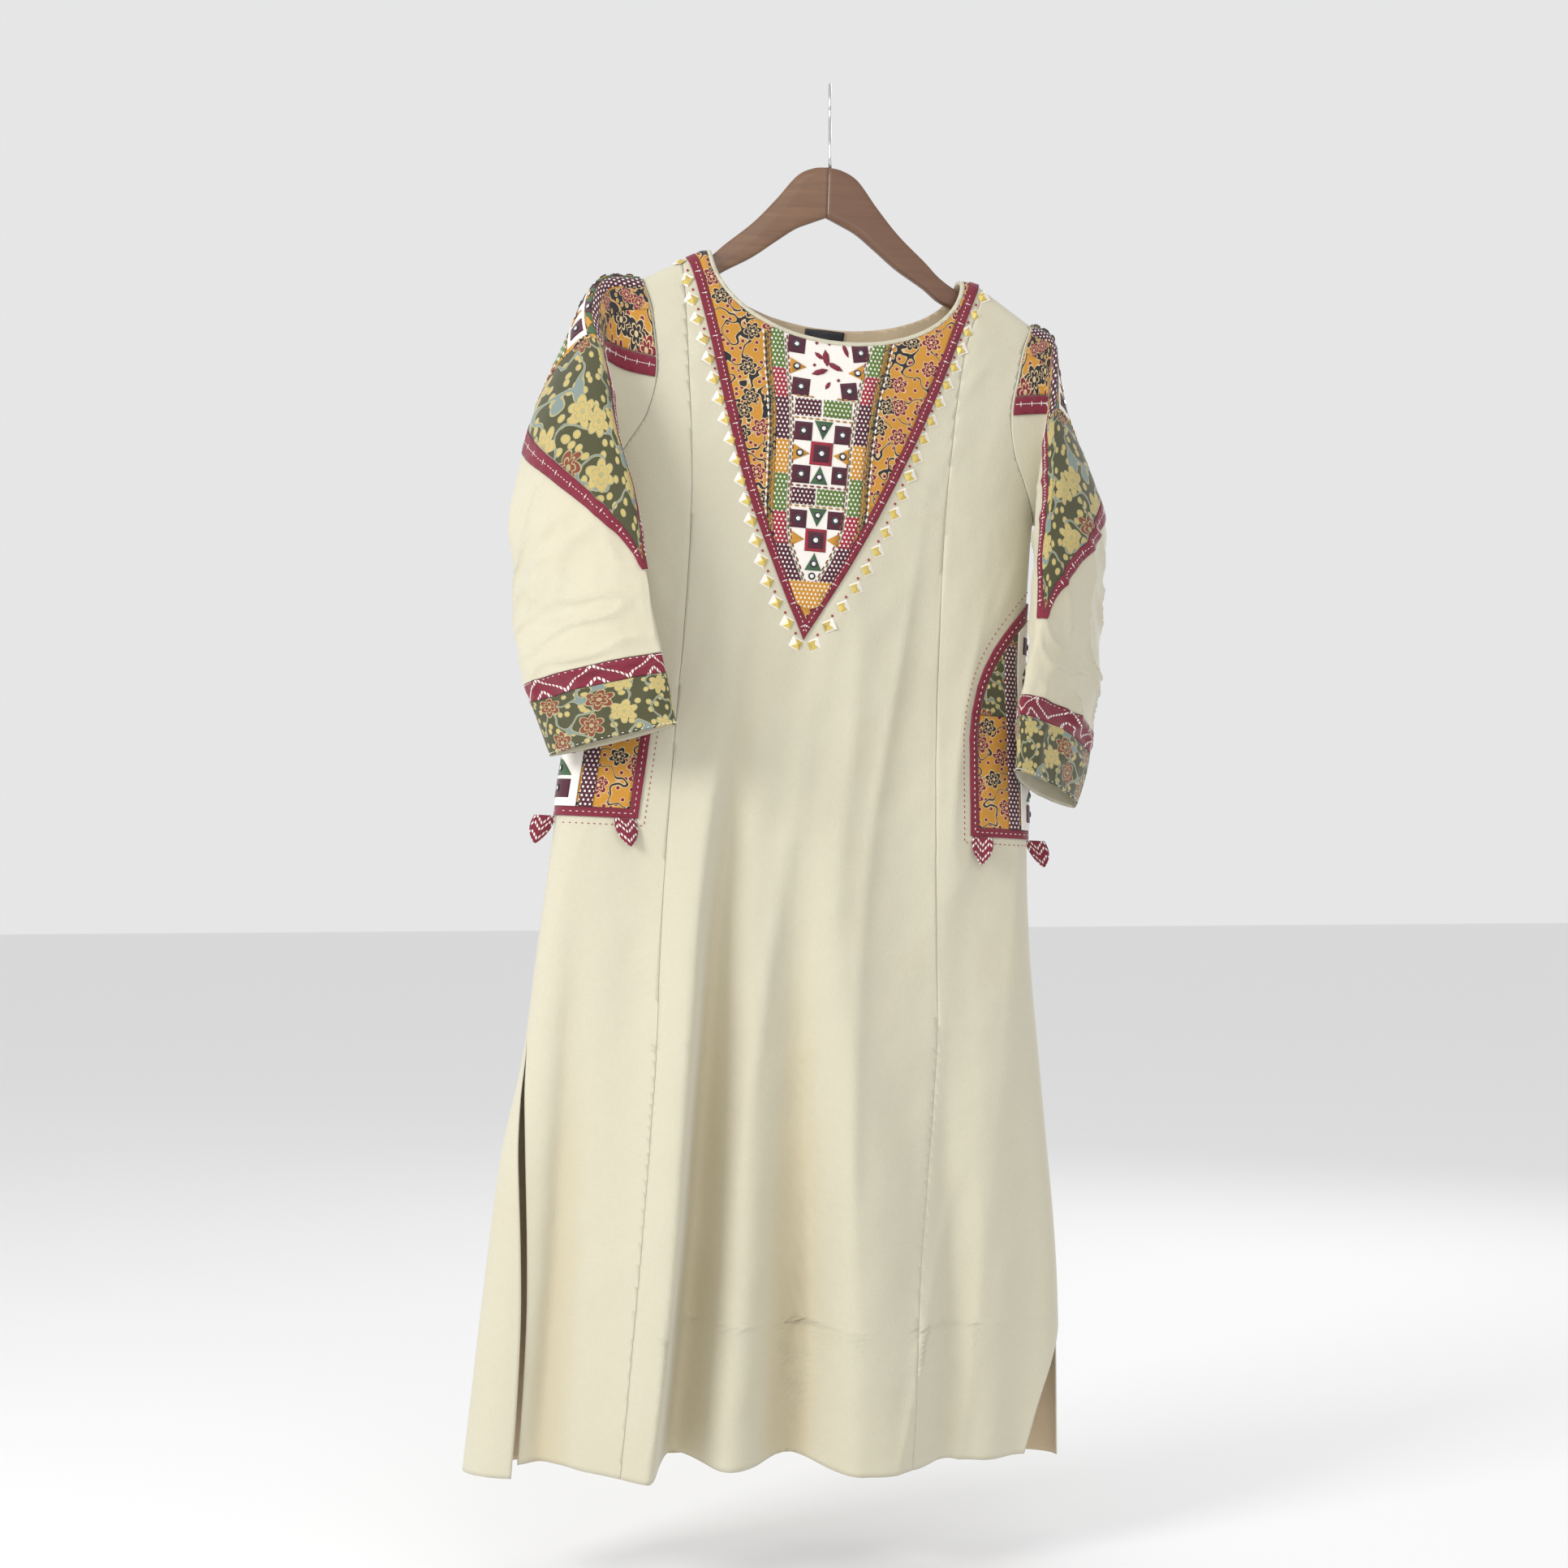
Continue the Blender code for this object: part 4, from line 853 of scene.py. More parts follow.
@dataclass
class Body:
    """The kurta's body, a tube of cloth that hangs from the shoulders."""
    squareness: float = 2.5              # power of the oval that a level section follows
    tilt_top: float = 0.065              # how far the garment has slid down towards the right
    tilt_hem: float = 0.030
    top_round: float = 0.011             # radius where the cloth rolls over the hanger
    swell: float = 0.22                  # drop over which the body opens out
    shoulder: float = 0.1756             # drop of the shoulder line at the neck
    slope: float = 0.59
    neck_point: float = 0.136            # offset where the shoulder line starts to fall
    front_hem: float = 1.308
    back_hem: float = 1.319
    slit_top: float = 0.925
    flap_out: float = 0.010
    hem_sag: float = 0.20
    deep_fold: float = 0.022             # depth at which a fold's cloth takes the full painted warm shade
    fold_top_width: float = 0.45
    neck_centre: float = -0.005
    neck_half: float = 0.124
    neck_front: float = 0.078
    neck_back: float = 0.056
    binding: float = 0.004
    seam_dip: float = 0.0010
    pucker: float = 0.0005
    pucker_reach: float = 0.03
    hem_dip: float = 0.0006
    hem_stitch: float = 0.016            # how far above the hem its stitching runs
    columns: int = 150
    top_rows: int = 46                   # rows above the level where all columns share their drops
    low_rows: int = 200
    shared_level: float = 0.315
    sheets: dict[Face, Sheet] = field(default_factory=dict)

    @property
    def underarm(self) -> float:
        """The drop where the armhole ends."""
        return ARMHOLE[-1].drop

    def tilt(self, drop: float) -> float:
        """How much the garment leans at a drop."""
        share = (drop - self.shoulder) / (self.front_hem - self.shoulder)
        return mix(self.tilt_top, self.tilt_hem, smooth(share))

    def shoulder_drop(self, offset: float) -> float:
        """The drop of the shoulder seam at an offset."""
        return self.shoulder + self.slope * max(abs(offset) - self.neck_point, 0.0)

    def fold_height(self, face: Face, offset: float, drop: float) -> float:
        """How far the large folds stand out of the plain body."""
        total = 0.0
        for fold in FOLDS[face]:
            share = (drop - fold.start) / (self.front_hem - fold.start)
            if share <= 0:
                continue
            away = offset - mix(fold.at_start, fold.at_hem, share)
            width = (fold.left if away < 0 else fold.right) * mix(self.fold_top_width, 1.0, share)
            total += fold.height * smooth(share * 1.15) * bell(away, width)
        return total

    def wrinkle(self, face: Face, offset: float, drop: float) -> float:
        """The small folds, creases and seam puckers that the CAD leaves out."""
        seed = 7.3 if face is Face.BACK else 0.4
        low = smooth((drop - 0.30) / 0.35)
        total = noise.noise((offset * 19 + drop * 0.6 + seed, drop * 1.6, 1.0)) * 0.0075 * low
        ridged = 1 - 2 * abs(noise.noise((offset * 13 + drop * 1.1 + seed, drop * 1.5, 8.0)))
        total += max(ridged, 0.0) ** 3 * 0.0050 * low
        total += noise.noise((offset * 9 + seed, drop * 8.0, 5.0)) * 0.0028
        total += noise.noise((offset * 34 + drop * 9, drop * 24, seed)) * 0.0015
        total += noise.noise((offset * 95, drop * 80, seed + 4)) * 0.0004
        if face is Face.BACK:
            return total
        total += sum(crease.rise(offset, drop) for crease in CREASES)
        for side in Side:
            line = side.value * of(read(PRINCESS, drop), side)
            away = offset - line
            if abs(away) < self.pucker_reach:
                total -= self.seam_dip * bell(away, 0.0018)
                total += self.pucker * bell(away, 0.009) * noise.noise((drop * 95, line * 30, 3.0))
        return total - self.hem_dip * bell(self.front_hem - self.hem_stitch - drop, 0.002)

    def point(self, angle: float, drop: float, face: Face, fine: bool = True) -> Vector:
        """A point of the outer cloth.

        Args:
            angle: 0 at the right side, pi / 2 in the middle and pi at the left side.
            drop: The distance below the origin.
            face: The front or the back.
            fine: Whether the small wrinkles are added.

        Returns:
            The point.
        """
        flap = max(angle - math.pi, 0.0)
        if flap:
            angle, face = math.pi - flap, face.other
        elif angle < 0:
            angle, face = -angle, face.other
        section = read(SECTIONS, drop)
        offset = section.half * signed_power(math.cos(angle), 2 / self.squareness)
        edge = abs(math.sin(angle)) ** (2 / self.squareness)
        under = max(drop - self.shoulder_drop(offset), 0.0)
        rolled = self.top_round * math.sqrt(1 - (1 - min(under / self.top_round, 1.0)) ** 2)
        full = section.front if face is Face.FRONT else section.back
        swell = (full - self.top_round) * (1 - (1 - min(under / self.swell, 1.0)) ** 2)
        fold = 0.0 if flap else self.fold_height(face, offset, drop)
        if fine and not flap:
            fold += self.wrinkle(face, offset, drop) * smooth(under / 0.03)
        stand = self.flap_out * smooth((drop - self.slit_top) / 0.12) * smooth((angle - 2.2) / 0.6)
        if face is Face.BACK or flap:
            swell += stand
            offset -= stand * (1 - edge)
        sag = self.hem_sag * fold * edge * smooth((drop - 1.05) / 0.25)
        return Vector((
            section.centre + offset,
            face.value * (edge * (rolled + swell + fold) + SEAM / 2),
            -drop - self.tilt(drop) * offset - sag,
        ))

    def angle_at(self, offset: float, drop: float) -> float:
        """The angle round the body of an offset."""
        share = min(abs(offset) / read(SECTIONS, drop).half, 1.0)
        return math.acos(math.copysign(share ** (self.squareness / 2), offset))

    def edge_angle(self, side: Side, drop: float, face: Face) -> float:
        """The angle of a sheet's outer edge: the side seam or the slit."""
        inset = of(read(SLITS, drop), side) if drop > self.slit_top else 0.0
        half = read(SECTIONS, drop).half
        if side is Side.RIGHT:
            return self.angle_at(half - inset, drop) if face is Face.FRONT else 0.0
        turned = math.pi - self.angle_at(-(half - inset), drop)
        return math.pi - turned - 0.02 * bool(inset) if face is Face.FRONT else math.pi + turned

    def armhole_angle(self, side: Side, drop: float) -> float:
        """The angle of the armhole's edge."""
        return self.angle_at(side.value * read(ARMHOLE, drop).half, drop)

    def offset_at(self, angle: float, drop: float) -> float:
        """The offset of an angle round the body."""
        return read(SECTIONS, drop).half * signed_power(math.cos(angle), 2 / self.squareness)

    def node(self, face: Face, index: int, share: float) -> tuple[float, float]:
        """The angle and the drop of a sheet's node.

        Args:
            face: The sheet's face.
            index: The node's row. The top rows fan out from the shoulder line.
            share: How far across the sheet the node is, from the right edge.

        Returns:
            The angle and the drop.
        """
        if index > self.top_rows:
            hem = self.front_hem if face is Face.FRONT else self.back_hem
            drop = mix(self.shared_level, hem, (index - self.top_rows) / self.low_rows)
            ends = [self.edge_angle(side, drop, face) for side in (Side.RIGHT, Side.LEFT)]
            return mix(*ends, share), drop
        drop = self.shared_level
        angle = mix(0.0, math.pi, share)
        for _ in range(3):
            top = min(self.shoulder_drop(self.offset_at(angle, drop)), self.shared_level - 0.02)
            drop = mix(top, self.shared_level, (index / self.top_rows) ** 1.8)
        return angle, drop

    def spot(self, face: Face, index: int, share: float) -> Spot:
        """A sheet's node with its place on the flat."""
        angle, drop = self.node(face, index, share)
        offset = self.offset_at(angle, drop)
        if angle > math.pi:
            offset = -2 * read(SECTIONS, drop).half - offset
        # painted shade, strongest where a fold sinks deep
        hollow = smooth(-self.fold_height(face, offset, drop) / self.deep_fold)
        return Spot(self.point(angle, drop, face), (offset, drop), hollow)

    def sheet(self, face: Face) -> Sheet:
        """The whole cloth of one face, from the shoulders to the hem, made once."""
        if face not in self.sheets:
            shares = [column / self.columns for column in range(self.columns + 1)]
            rows = range(self.top_rows + self.low_rows + 1)
            self.sheets[face] = Sheet([[self.spot(face, row, share) for share in shares] for row in rows])
        return self.sheets[face]

    def below_shoulder(self, offset: float, drop: float) -> float:
        """Positive below the shoulder seam."""
        return drop - self.shoulder_drop(offset) - SEAM

    def inside_armhole(self, offset: float, drop: float) -> float:
        """Positive on the body's side of the armhole."""
        if drop >= self.underarm:
            return 1.0
        return read(ARMHOLE, max(drop, ARMHOLE[0].drop)).half - abs(offset)

    def outside_neck(self, offset: float, drop: float, depth: float, grow: float = 0.0) -> float:
        """Positive outside the neckline grown by some width, roughly in metres."""
        across = (offset - self.neck_centre) / (self.neck_half + grow)
        down = (drop - self.shoulder) / (depth + grow)
        return (math.hypot(across, down) - 1.0) * (depth + grow)

    def trimmed(self, face: Face) -> bmesh.types.BMesh:
        """One face's ground cut at the shoulders, the neck and the armholes."""
        depth = self.neck_front if face is Face.FRONT else self.neck_back
        bm = self.sheet(face).ground()
        cut(bm, self.below_shoulder)
        cut(bm, lambda x, y: self.outside_neck(x, y, depth))
        cut(bm, self.inside_armhole)
        return bm

    def past_princess(self, side: Side, offset: float, drop: float) -> float:
        """How far outside a front seam a place is."""
        return side.value * offset - of(read(PRINCESS, drop), side)

    def panel(self, name: str, bm: bmesh.types.BMesh, lining: Finish | None = None) -> None:
        """Show one panel that hangs from the hanger's arms."""
        piece = Piece("cloth_" + name, COTTON, -CLOTH, 0.0, name, "cream", lining).build(bm)
        declare_sheet(piece)

    def build(self) -> None:
        """Cut and show the three front panels, the back and the neck's bindings."""
        centre = self.trimmed(Face.FRONT)
        for side in Side:
            cut(centre, lambda x, y: -self.past_princess(side, x, y) - SEAM / 2)
        self.panel("front_centre", centre)
        for side in Side:
            outer = self.trimmed(Face.FRONT)
            cut(outer, lambda x, y: self.past_princess(side, x, y) - SEAM / 2)
            self.panel("front_side_" + side.word, outer)
        # the back's inner face is its cotton in painted shade
        self.panel("back", self.trimmed(Face.BACK), INSIDE_SHADE)
        for face, depth in ((Face.FRONT, self.neck_front), (Face.BACK, self.neck_back)):
            bm = self.sheet(face).ground((-0.2, 0.0), (0.2, 0.28))
            cut(bm, self.below_shoulder)
            cut(bm, lambda x, y: self.outside_neck(x, y, depth))
            cut(bm, lambda x, y: -self.outside_neck(x, y, depth, self.binding))
            name = "neck_binding_" + face.name.lower()
            Piece("cloth_" + name, COTTON, node=name, slot="cream").build(bm)


class Frame(NamedTuple):
    """A place on a surface with its outward normal and the two directions of the flat."""
    point: Vector
    normal: Vector
    across: Vector
    down: Vector

    def matrix(self, turn: float, size: Vector, lift: float) -> Matrix:
        """Where a unit shape lies.

        Args:
            turn: The turn of its X from the flat's across towards its down, in radians.
            size: Its size along, across and out of the surface.
            lift: How far its middle stands off the surface.

        Returns:
            The matrix.
        """
        along = (self.across * math.cos(turn) + self.down * math.sin(turn)).normalized()
        aside = self.normal.cross(along).normalized()
        turned = Matrix((along, aside, self.normal)).transposed().to_4x4()
        return Matrix.Translation(self.point + self.normal * lift) @ turned @ Matrix.Diagonal((*size, 1.0))


def frame_on(
    place: Callable[[float, float], Vector], x: float, y: float, steps: Flat, outward: Vector
) -> Frame:
    """The frame of a surface at a flat place.

    Args:
        place: The surface.
        x, y: The flat place.
        steps: Small steps in both flat measures.
        outward: A vector on the side of the outward normal.

    Returns:
        The frame.
    """
    point = place(x, y)
    across = (place(x + steps[0], y) - place(x - steps[0], y)).normalized()
    down = (place(x, y + steps[1]) - place(x, y - steps[1])).normalized()
    normal = across.cross(down).normalized()
    return Frame(point, normal if normal.dot(outward) > 0 else -normal, across, down)


@dataclass
class Thread:
    """Small repeated shapes sewn on a surface, gathered into one piece."""
    name: str
    finish: Finish
    bm: bmesh.types.BMesh = field(default_factory=bmesh.new)

    def stitch(self, frame: Frame, turn: float, length: float, lift: float, width: float = FINE) -> None:
        """Add one stitch of thread."""
        matrix = frame.matrix(turn, Vector((length, width, 0.0010)), lift)
        bmesh.ops.create_icosphere(self.bm, subdivisions=1, radius=0.5, matrix=matrix)

    def disc(self, frame: Frame, radius: float, lift: float) -> None:
        """Add one low round disc."""
        self.cone(frame.matrix(0.0, Vector((1.0, 1.0, 1.0)), lift), 12, radius, 0.8, 0.0008)

    def facet(self, frame: Frame, turn: float, radius: float, lift: float) -> None:
        """Add one low pyramid with a corner that points along the turn."""
        self.cone(frame.matrix(turn, Vector((1.0, 1.0, 1.0)), lift), 4, radius, 0.1, 0.0022)

    def cone(self, matrix: Matrix, sides: int, radius: float, top_share: float, height: float) -> None:
        """Add one cut-off cone."""
        bmesh.ops.create_cone(
            self.bm, cap_ends=True, segments=sides, radius1=radius, radius2=radius * top_share,
            depth=height, matrix=matrix)

    def build(self, smooth_faces: bool = True) -> None:
        """Show all of it as one piece."""
        bmesh.ops.recalc_face_normals(self.bm, faces=self.bm.faces)
        piece = show(self.name, self.bm, [self.finish])
        if not smooth_faces:
            piece.data.shade_flat()


# Patchwork

class Shape(Enum):
    """Outlines of patches, as corners in a unit box with Y down."""
    SQUARE = ((-0.5, -0.5), (0.5, -0.5), (0.5, 0.5), (-0.5, 0.5))
    UP = ((0.0, -0.5), (0.5, 0.5), (-0.5, 0.5))
    DOWN = ((-0.5, -0.5), (0.5, -0.5), (0.0, 0.5))
    POINT_RIGHT = ((-0.5, -0.5), (0.5, 0.0), (-0.5, 0.5))
    POINT_LEFT = ((0.5, -0.5), (0.5, 0.5), (-0.5, 0.0))
    LEAF = ((-0.5, 0.0), (-0.2, -0.35), (0.2, -0.35), (0.5, 0.0), (0.2, 0.35), (-0.2, 0.35))


class Motif(NamedTuple):
    """One patch, in millimetres on the yoke's flat."""
    shape: Shape
    across: float
    drop: float
    width: float
    height: float
    finish: Finish
    mirror: float = 3.0
    turn: float = 0.0
    level: int = 1

    def outline(self) -> list[Flat]:
        """The patch's corners on the flat, in metres."""
        turn = math.radians(self.turn)
        corners = []
        for x, y in self.shape.value:
            x, y = x * self.width, y * self.height
            across = self.across + x * math.cos(turn) - y * math.sin(turn)
            down = self.drop + x * math.sin(turn) + y * math.cos(turn)
            corners.append((across / MM, down / MM))
        return corners


class Segment(NamedTuple):
    """One piece of the dotted strips, by its drops in millimetres."""
    start: float
    end: float
    finish: Finish


class Line(NamedTuple):
    """A sewn line beside the dotted strips: how far outside and at which phase of the pitch."""
    name: str
    finish: Finish
    away: float
    phase: float



class Strip(NamedTuple):
    """The middles of the two dotted strips, in millimetres."""
    drop: float
    left: float
    right: float


class Leg(NamedTuple):
    """The offsets of the mirror points along the V, in metres."""
    drop: float
    left: float
    right: float


YOKE_MOTIFS = (
    Motif(Shape.SQUARE, -45.3, 261.2, 17.0, 17.2, PLUM_PATCH, turn=3),
    Motif(Shape.POINT_RIGHT, -42.7, 283.0, 16.0, 16.0, MUSTARD_PATCH),
    Motif(Shape.SQUARE, -39.1, 302.7, 17.2, 17.2, PLUM_PATCH, turn=3),
    Motif(Shape.SQUARE, -30.9, 322.0, 25.5, 16.5, DOTTED_PLUM, 0.0),
    Motif(Shape.SQUARE, -2.2, 321.4, 27.5, 16.5, DOTTED_GREEN, 0.0),
    Motif(Shape.SQUARE, 17.3, 263.8, 16.0, 17.6, PLUM_PATCH, turn=-10),
    Motif(Shape.POINT_LEFT, 14.0, 283.9, 15.6, 16.5, MUSTARD_PATCH, turn=-8),
    Motif(Shape.SQUARE, 7.9, 303.0, 15.8, 16.8, PLUM_PATCH, turn=-10),
    Motif(Shape.SQUARE, -33.9, 345.0, 17.0, 17.5, PLUM_PATCH),
    Motif(Shape.DOWN, -14.7, 343.0, 18.0, 17.5, GREEN_PATCH),
    Motif(Shape.SQUARE, 4.3, 345.6, 15.8, 17.5, PLUM_PATCH),
    Motif(Shape.POINT_RIGHT, -34.1, 365.8, 16.0, 16.0, MUSTARD_PATCH),
    Motif(Shape.SQUARE, -14.7, 365.0, 21.6, 22.0, CRIMSON_PATCH, 0.0),
    Motif(Shape.SQUARE, -14.7, 365.0, 15.6, 16.0, PLUM_PATCH, 3.4, level=2),
    Motif(Shape.POINT_LEFT, 4.9, 365.9, 15.5, 16.0, MUSTARD_PATCH),
    Motif(Shape.SQUARE, -32.5, 385.7, 16.8, 16.8, PLUM_PATCH),
    Motif(Shape.UP, -14.8, 385.4, 17.0, 17.0, GREEN_PATCH),
    Motif(Shape.SQUARE, 4.6, 384.5, 15.0, 16.8, PLUM_PATCH),
    Motif(Shape.SQUARE, -28.6, 406.3, 22.6, 15.6, DOTTED_PLUM, 0.0),
    Motif(Shape.SQUARE, -2.2, 406.0, 27.0, 15.6, DOTTED_GREEN, 0.0),
    Motif(Shape.SQUARE, -32.2, 428.0, 16.3, 17.0, PLUM_PATCH),
    Motif(Shape.DOWN, -13.7, 425.6, 17.6, 17.0, GREEN_PATCH),
    Motif(Shape.SQUARE, 4.2, 427.2, 15.6, 17.0, PLUM_PATCH),
    Motif(Shape.POINT_RIGHT, -31.4, 447.0, 12.4, 14.0, MUSTARD_PATCH, 0.0),
    Motif(Shape.SQUARE, -13.9, 447.2, 20.6, 21.4, CRIMSON_PATCH, 0.0),
    Motif(Shape.SQUARE, -13.9, 447.2, 15.0, 15.6, PLUM_PATCH, 3.4, level=2),
    Motif(Shape.POINT_LEFT, 3.0, 446.0, 12.0, 14.0, MUSTARD_PATCH, 0.0),
    Motif(Shape.UP, -14.4, 467.4, 16.5, 16.5, GREEN_PATCH),
    Motif(Shape.LEAF, -16.0, 272.0, 17.0, 8.5, MAROON, 0.0, turn=80),
    Motif(Shape.LEAF, -21.5, 286.5, 17.0, 7.0, MAROON, 0.0, turn=-20, level=2),
    Motif(Shape.LEAF, -7.0, 280.0, 17.0, 7.0, MAROON, 0.0, turn=25, level=2),
    Motif(Shape.LEAF, -23.0, 270.5, 11.0, 5.5, MAROON, 0.0, turn=35),
    Motif(Shape.LEAF, 2.5, 262.5, 15.0, 5.5, MAROON, 0.0, turn=65),
    Motif(Shape.LEAF, -13.0, 299.0, 9.0, 5.0, MAROON, 0.0, turn=-60),
    Motif(Shape.SQUARE, -26.0, 258.0, 2.6, 2.6, MAROON, 0.0, turn=45),
    Motif(Shape.SQUARE, -13.5, 257.5, 2.6, 2.6, MAROON, 0.0, turn=45),
    Motif(Shape.SQUARE, -27.0, 280.0, 2.6, 2.6, MAROON, 0.0, turn=45),
    Motif(Shape.SQUARE, -3.0, 293.0, 2.6, 2.6, MAROON, 0.0, turn=45),
)
STRIP_SEGMENTS = (
    Segment(248.0, 286.0, DOTTED_GREEN),
    Segment(286.0, 314.5, DOTTED_RED),
    Segment(314.5, 354.0, DOTTED_PLUM),
    Segment(354.0, 386.5, DOTTED_MUSTARD),
    Segment(386.5, 422.0, DOTTED_GREEN),
    Segment(422.0, 452.5, DOTTED_RED),
    Segment(452.5, 486.0, DOTTED_PLUM),
)
STRIPS = (
    Strip(230.0, -66.5, 41.0),
    Strip(250.0, -65.1, 36.8),
    Strip(286.0, -61.3, 30.0),
    Strip(315.0, -56.6, 24.8),
    Strip(354.0, -52.6, 21.8),
    Strip(386.0, -51.2, 21.5),
    Strip(422.0, -50.0, 20.6),
    Strip(453.0, -45.6, 14.3),
    Strip(487.0, -30.5, -1.6),
    Strip(520.0, -15.9, -15.7),
)
LEGS = (
    Leg(0.190, -0.1590, 0.1420),
    Leg(0.231, -0.1470, 0.1250),
    Leg(0.269, -0.1340, 0.1120),
    Leg(0.307, -0.1210, 0.0980),
    Leg(0.344, -0.1070, 0.0850),
    Leg(0.382, -0.0930, 0.0735),
    Leg(0.420, -0.0810, 0.0610),
    Leg(0.457, -0.0690, 0.0455),
    Leg(0.496, -0.0540, 0.0245),
    Leg(0.530, -0.0330, 0.0030),
    Leg(0.545, -0.0250, -0.0070),
)
YOKE_LINES = (
    Line("gold", GOLD_THREAD, 0.0078, 0.5),
    Line("olive", OLIVE_THREAD, -0.0078, 0.0),
    Line("green", OLIVE_THREAD, 0.0098, 0.2),
    Line("rust", RUST_THREAD, -0.0099, 0.5),
    Line("black", BLACK_THREAD, 0.0118, 0.6),
    Line("white", WHITE_THREAD, 0.0136, 0.1),
)


@dataclass
class Yoke:
    """The patchwork V on the front with its piping, mirrors and mirror points."""
    body: Body
    tops: dict[Side, float] = field(default_factory=lambda: {Side.LEFT: -0.1525, Side.RIGHT: 0.1388})
    tip: float = -0.018
    tip_drop: float = 0.541
    bulge: float = 0.0125
    piping: float = 0.0097
    shoulder_step: float = 0.001
    middle_end: float = 0.505            # drop where the white middle ends
    mustard_top: float = 0.486           # drop where the dotted mustard tip starts
    mustard_end: float = 0.514
    last_mirror: Flat = (-0.0149, 0.4810)
    ring_share: float = 0.00128          # metres of ring to a millimetre of a motif's mirror
    glass_share: float = 0.00078
    strip_half: float = 0.0062
    line_top: float = 0.252
    line_pitch: float = 0.0066
    line_width: float = 0.0021
    running_top: float = 0.192
    running_pitch: float = 0.0041
    point_pitch: float = 0.0184
    point_radius: float = 0.0062
    point_lean: float = 0.35
    over: float = LIE + PATCH

    def line(self, side: Side, drop: float) -> float:
        """The offset of the V's edge at a drop."""
        top = self.body.shoulder_drop(self.tops[side])
        share = (drop - top) / (self.tip_drop - top)
        bulge = self.bulge * math.sin(math.pi * min(max(share, 0.0), 1.0) ** 1.3)
        return mix(self.tops[side], self.tip, share) + side.value * bulge

    def inside(self, offset: float, drop: float) -> float:
        """How far inside the V's edge a place is."""
        return min(side.value * (self.line(side, drop) - offset) for side in Side)

    def ridge(self, offset: float, drop: float) -> float:
        """The V's own middle line."""
        share = (drop - self.body.shoulder) / (self.tip_drop - self.body.shoulder)
        return offset - mix(sum(self.tops.values()) / 2, self.tip, share)

    def ground(self) -> bmesh.types.BMesh:
        """The front's ground round the V."""
        bm = self.body.sheet(Face.FRONT).ground((-0.175, 0.0), (0.165, self.tip_drop + 0.02))
        cut(bm, self.ridge, keep_all=True)
        cut(bm, lambda x, y: self.body.below_shoulder(x, y) - self.shoulder_step)
        cut(bm, self.outside_binding)
        return bm

    def outside_binding(self, offset: float, drop: float) -> float:
        """Positive outside the neck's binding."""
        return self.body.outside_neck(offset, drop, self.body.neck_front, self.body.binding + SEAM)

    def frame(self, offset: float, drop: float) -> Frame:
        """The frame of the front at a flat place."""
        def place(x: float, y: float) -> Vector:
            """The front's surface."""
            return self.body.point(self.body.angle_at(x, y), y, Face.FRONT)
        return frame_on(place, offset, drop, (0.001, 0.001), Vector((0.0, -1.0, 0.0)))

    def between_strips(self, grow: float) -> Field:
        """A field that is positive between the two strips' middles grown by some width."""
        def edge(x: float, y: float) -> float:
            """The distance inside the nearer strip's middle."""
            row = read(STRIPS, y * MM)
            return min(x - row.left / MM, row.right / MM - x) + grow
        return edge

    def along_strip(self, side: Side) -> Field:
        """A field that is positive on one dotted strip."""
        return lambda x, y: self.strip_half - abs(x - of(read(STRIPS, y * MM), side) / MM)

    def build(self) -> None:
        """Show the V, its patchwork, its threads and the mirror points."""
        patch = self.ground()
        cut(patch, lambda x, y: self.inside(x, y) - self.piping - SEAM)
        declare_sheet(Piece("yoke_cloth", MUSTARD_PRINT, node="yoke_patch", slot="patchwork").build(patch))
        piping = self.ground()
        cut(piping, self.inside)
        cut(piping, lambda x, y: self.piping - self.inside(x, y))
        Piece("yoke_edge", MAROON, LIE, LIE + PIPING, "yoke_piping", "maroon").build(piping)
        middle = self.ground()
        cut(middle, self.between_strips(0.0))
        cut(middle, lambda x, y: self.middle_end - y)
        Piece("yoke_middle", WHITE_PATCH, self.over, self.over + SKIN, slot="patchwork").build(middle)
        self.strips()
        self.motifs()
        self.lines()
        self.running()
        self.points()

    def motifs(self) -> None:
        """Lay the patches on and sew their mirrors."""
        mirrors = Thread("yoke_mirrors", MIRROR)
        rings = Thread("yoke_mirror_rings", BLACK_THREAD)
        shifts = {Shape.POINT_RIGHT: (-1.4, 0.0), Shape.POINT_LEFT: (1.4, 0.0), Shape.UP: (0.0, 2.0),
                  Shape.DOWN: (0.0, -2.0)}
        for index, motif in enumerate(YOKE_MOTIFS):
            self.motif(index, motif)
            if motif.mirror:
                shift, rise = shifts.get(motif.shape, (0.0, 0.0))
                frame = self.frame((motif.across + shift) / MM, (motif.drop + rise) / MM)
                rings.disc(frame, motif.mirror * self.ring_share, self.over + 0.0016)
                mirrors.disc(frame, motif.mirror * self.glass_share, self.over + 0.0022)
        last = self.frame(*self.last_mirror)
        rings.disc(last, 0.0036, self.over + 0.0012)
        mirrors.disc(last, 0.0022, self.over + 0.0018)
        rings.build()
        mirrors.build()

    def motif(self, index: int, motif: Motif) -> None:
        """Lay one patch on."""
        outline = motif.outline()
        xs, ys = zip(*outline)
        around = 0.004
        bm = self.body.sheet(Face.FRONT).ground(
            (min(xs) - around, min(ys) - around), (max(xs) + around, max(ys) + around))
        cut_outline(bm, outline)
        cut(bm, self.outside_binding)
        low = self.over + SKIN * motif.level
        name = f"yoke_{motif.shape.name.lower()}_{index:02d}"
        Piece(name, motif.finish, low, low + SKIN, slot="patchwork").build(bm)

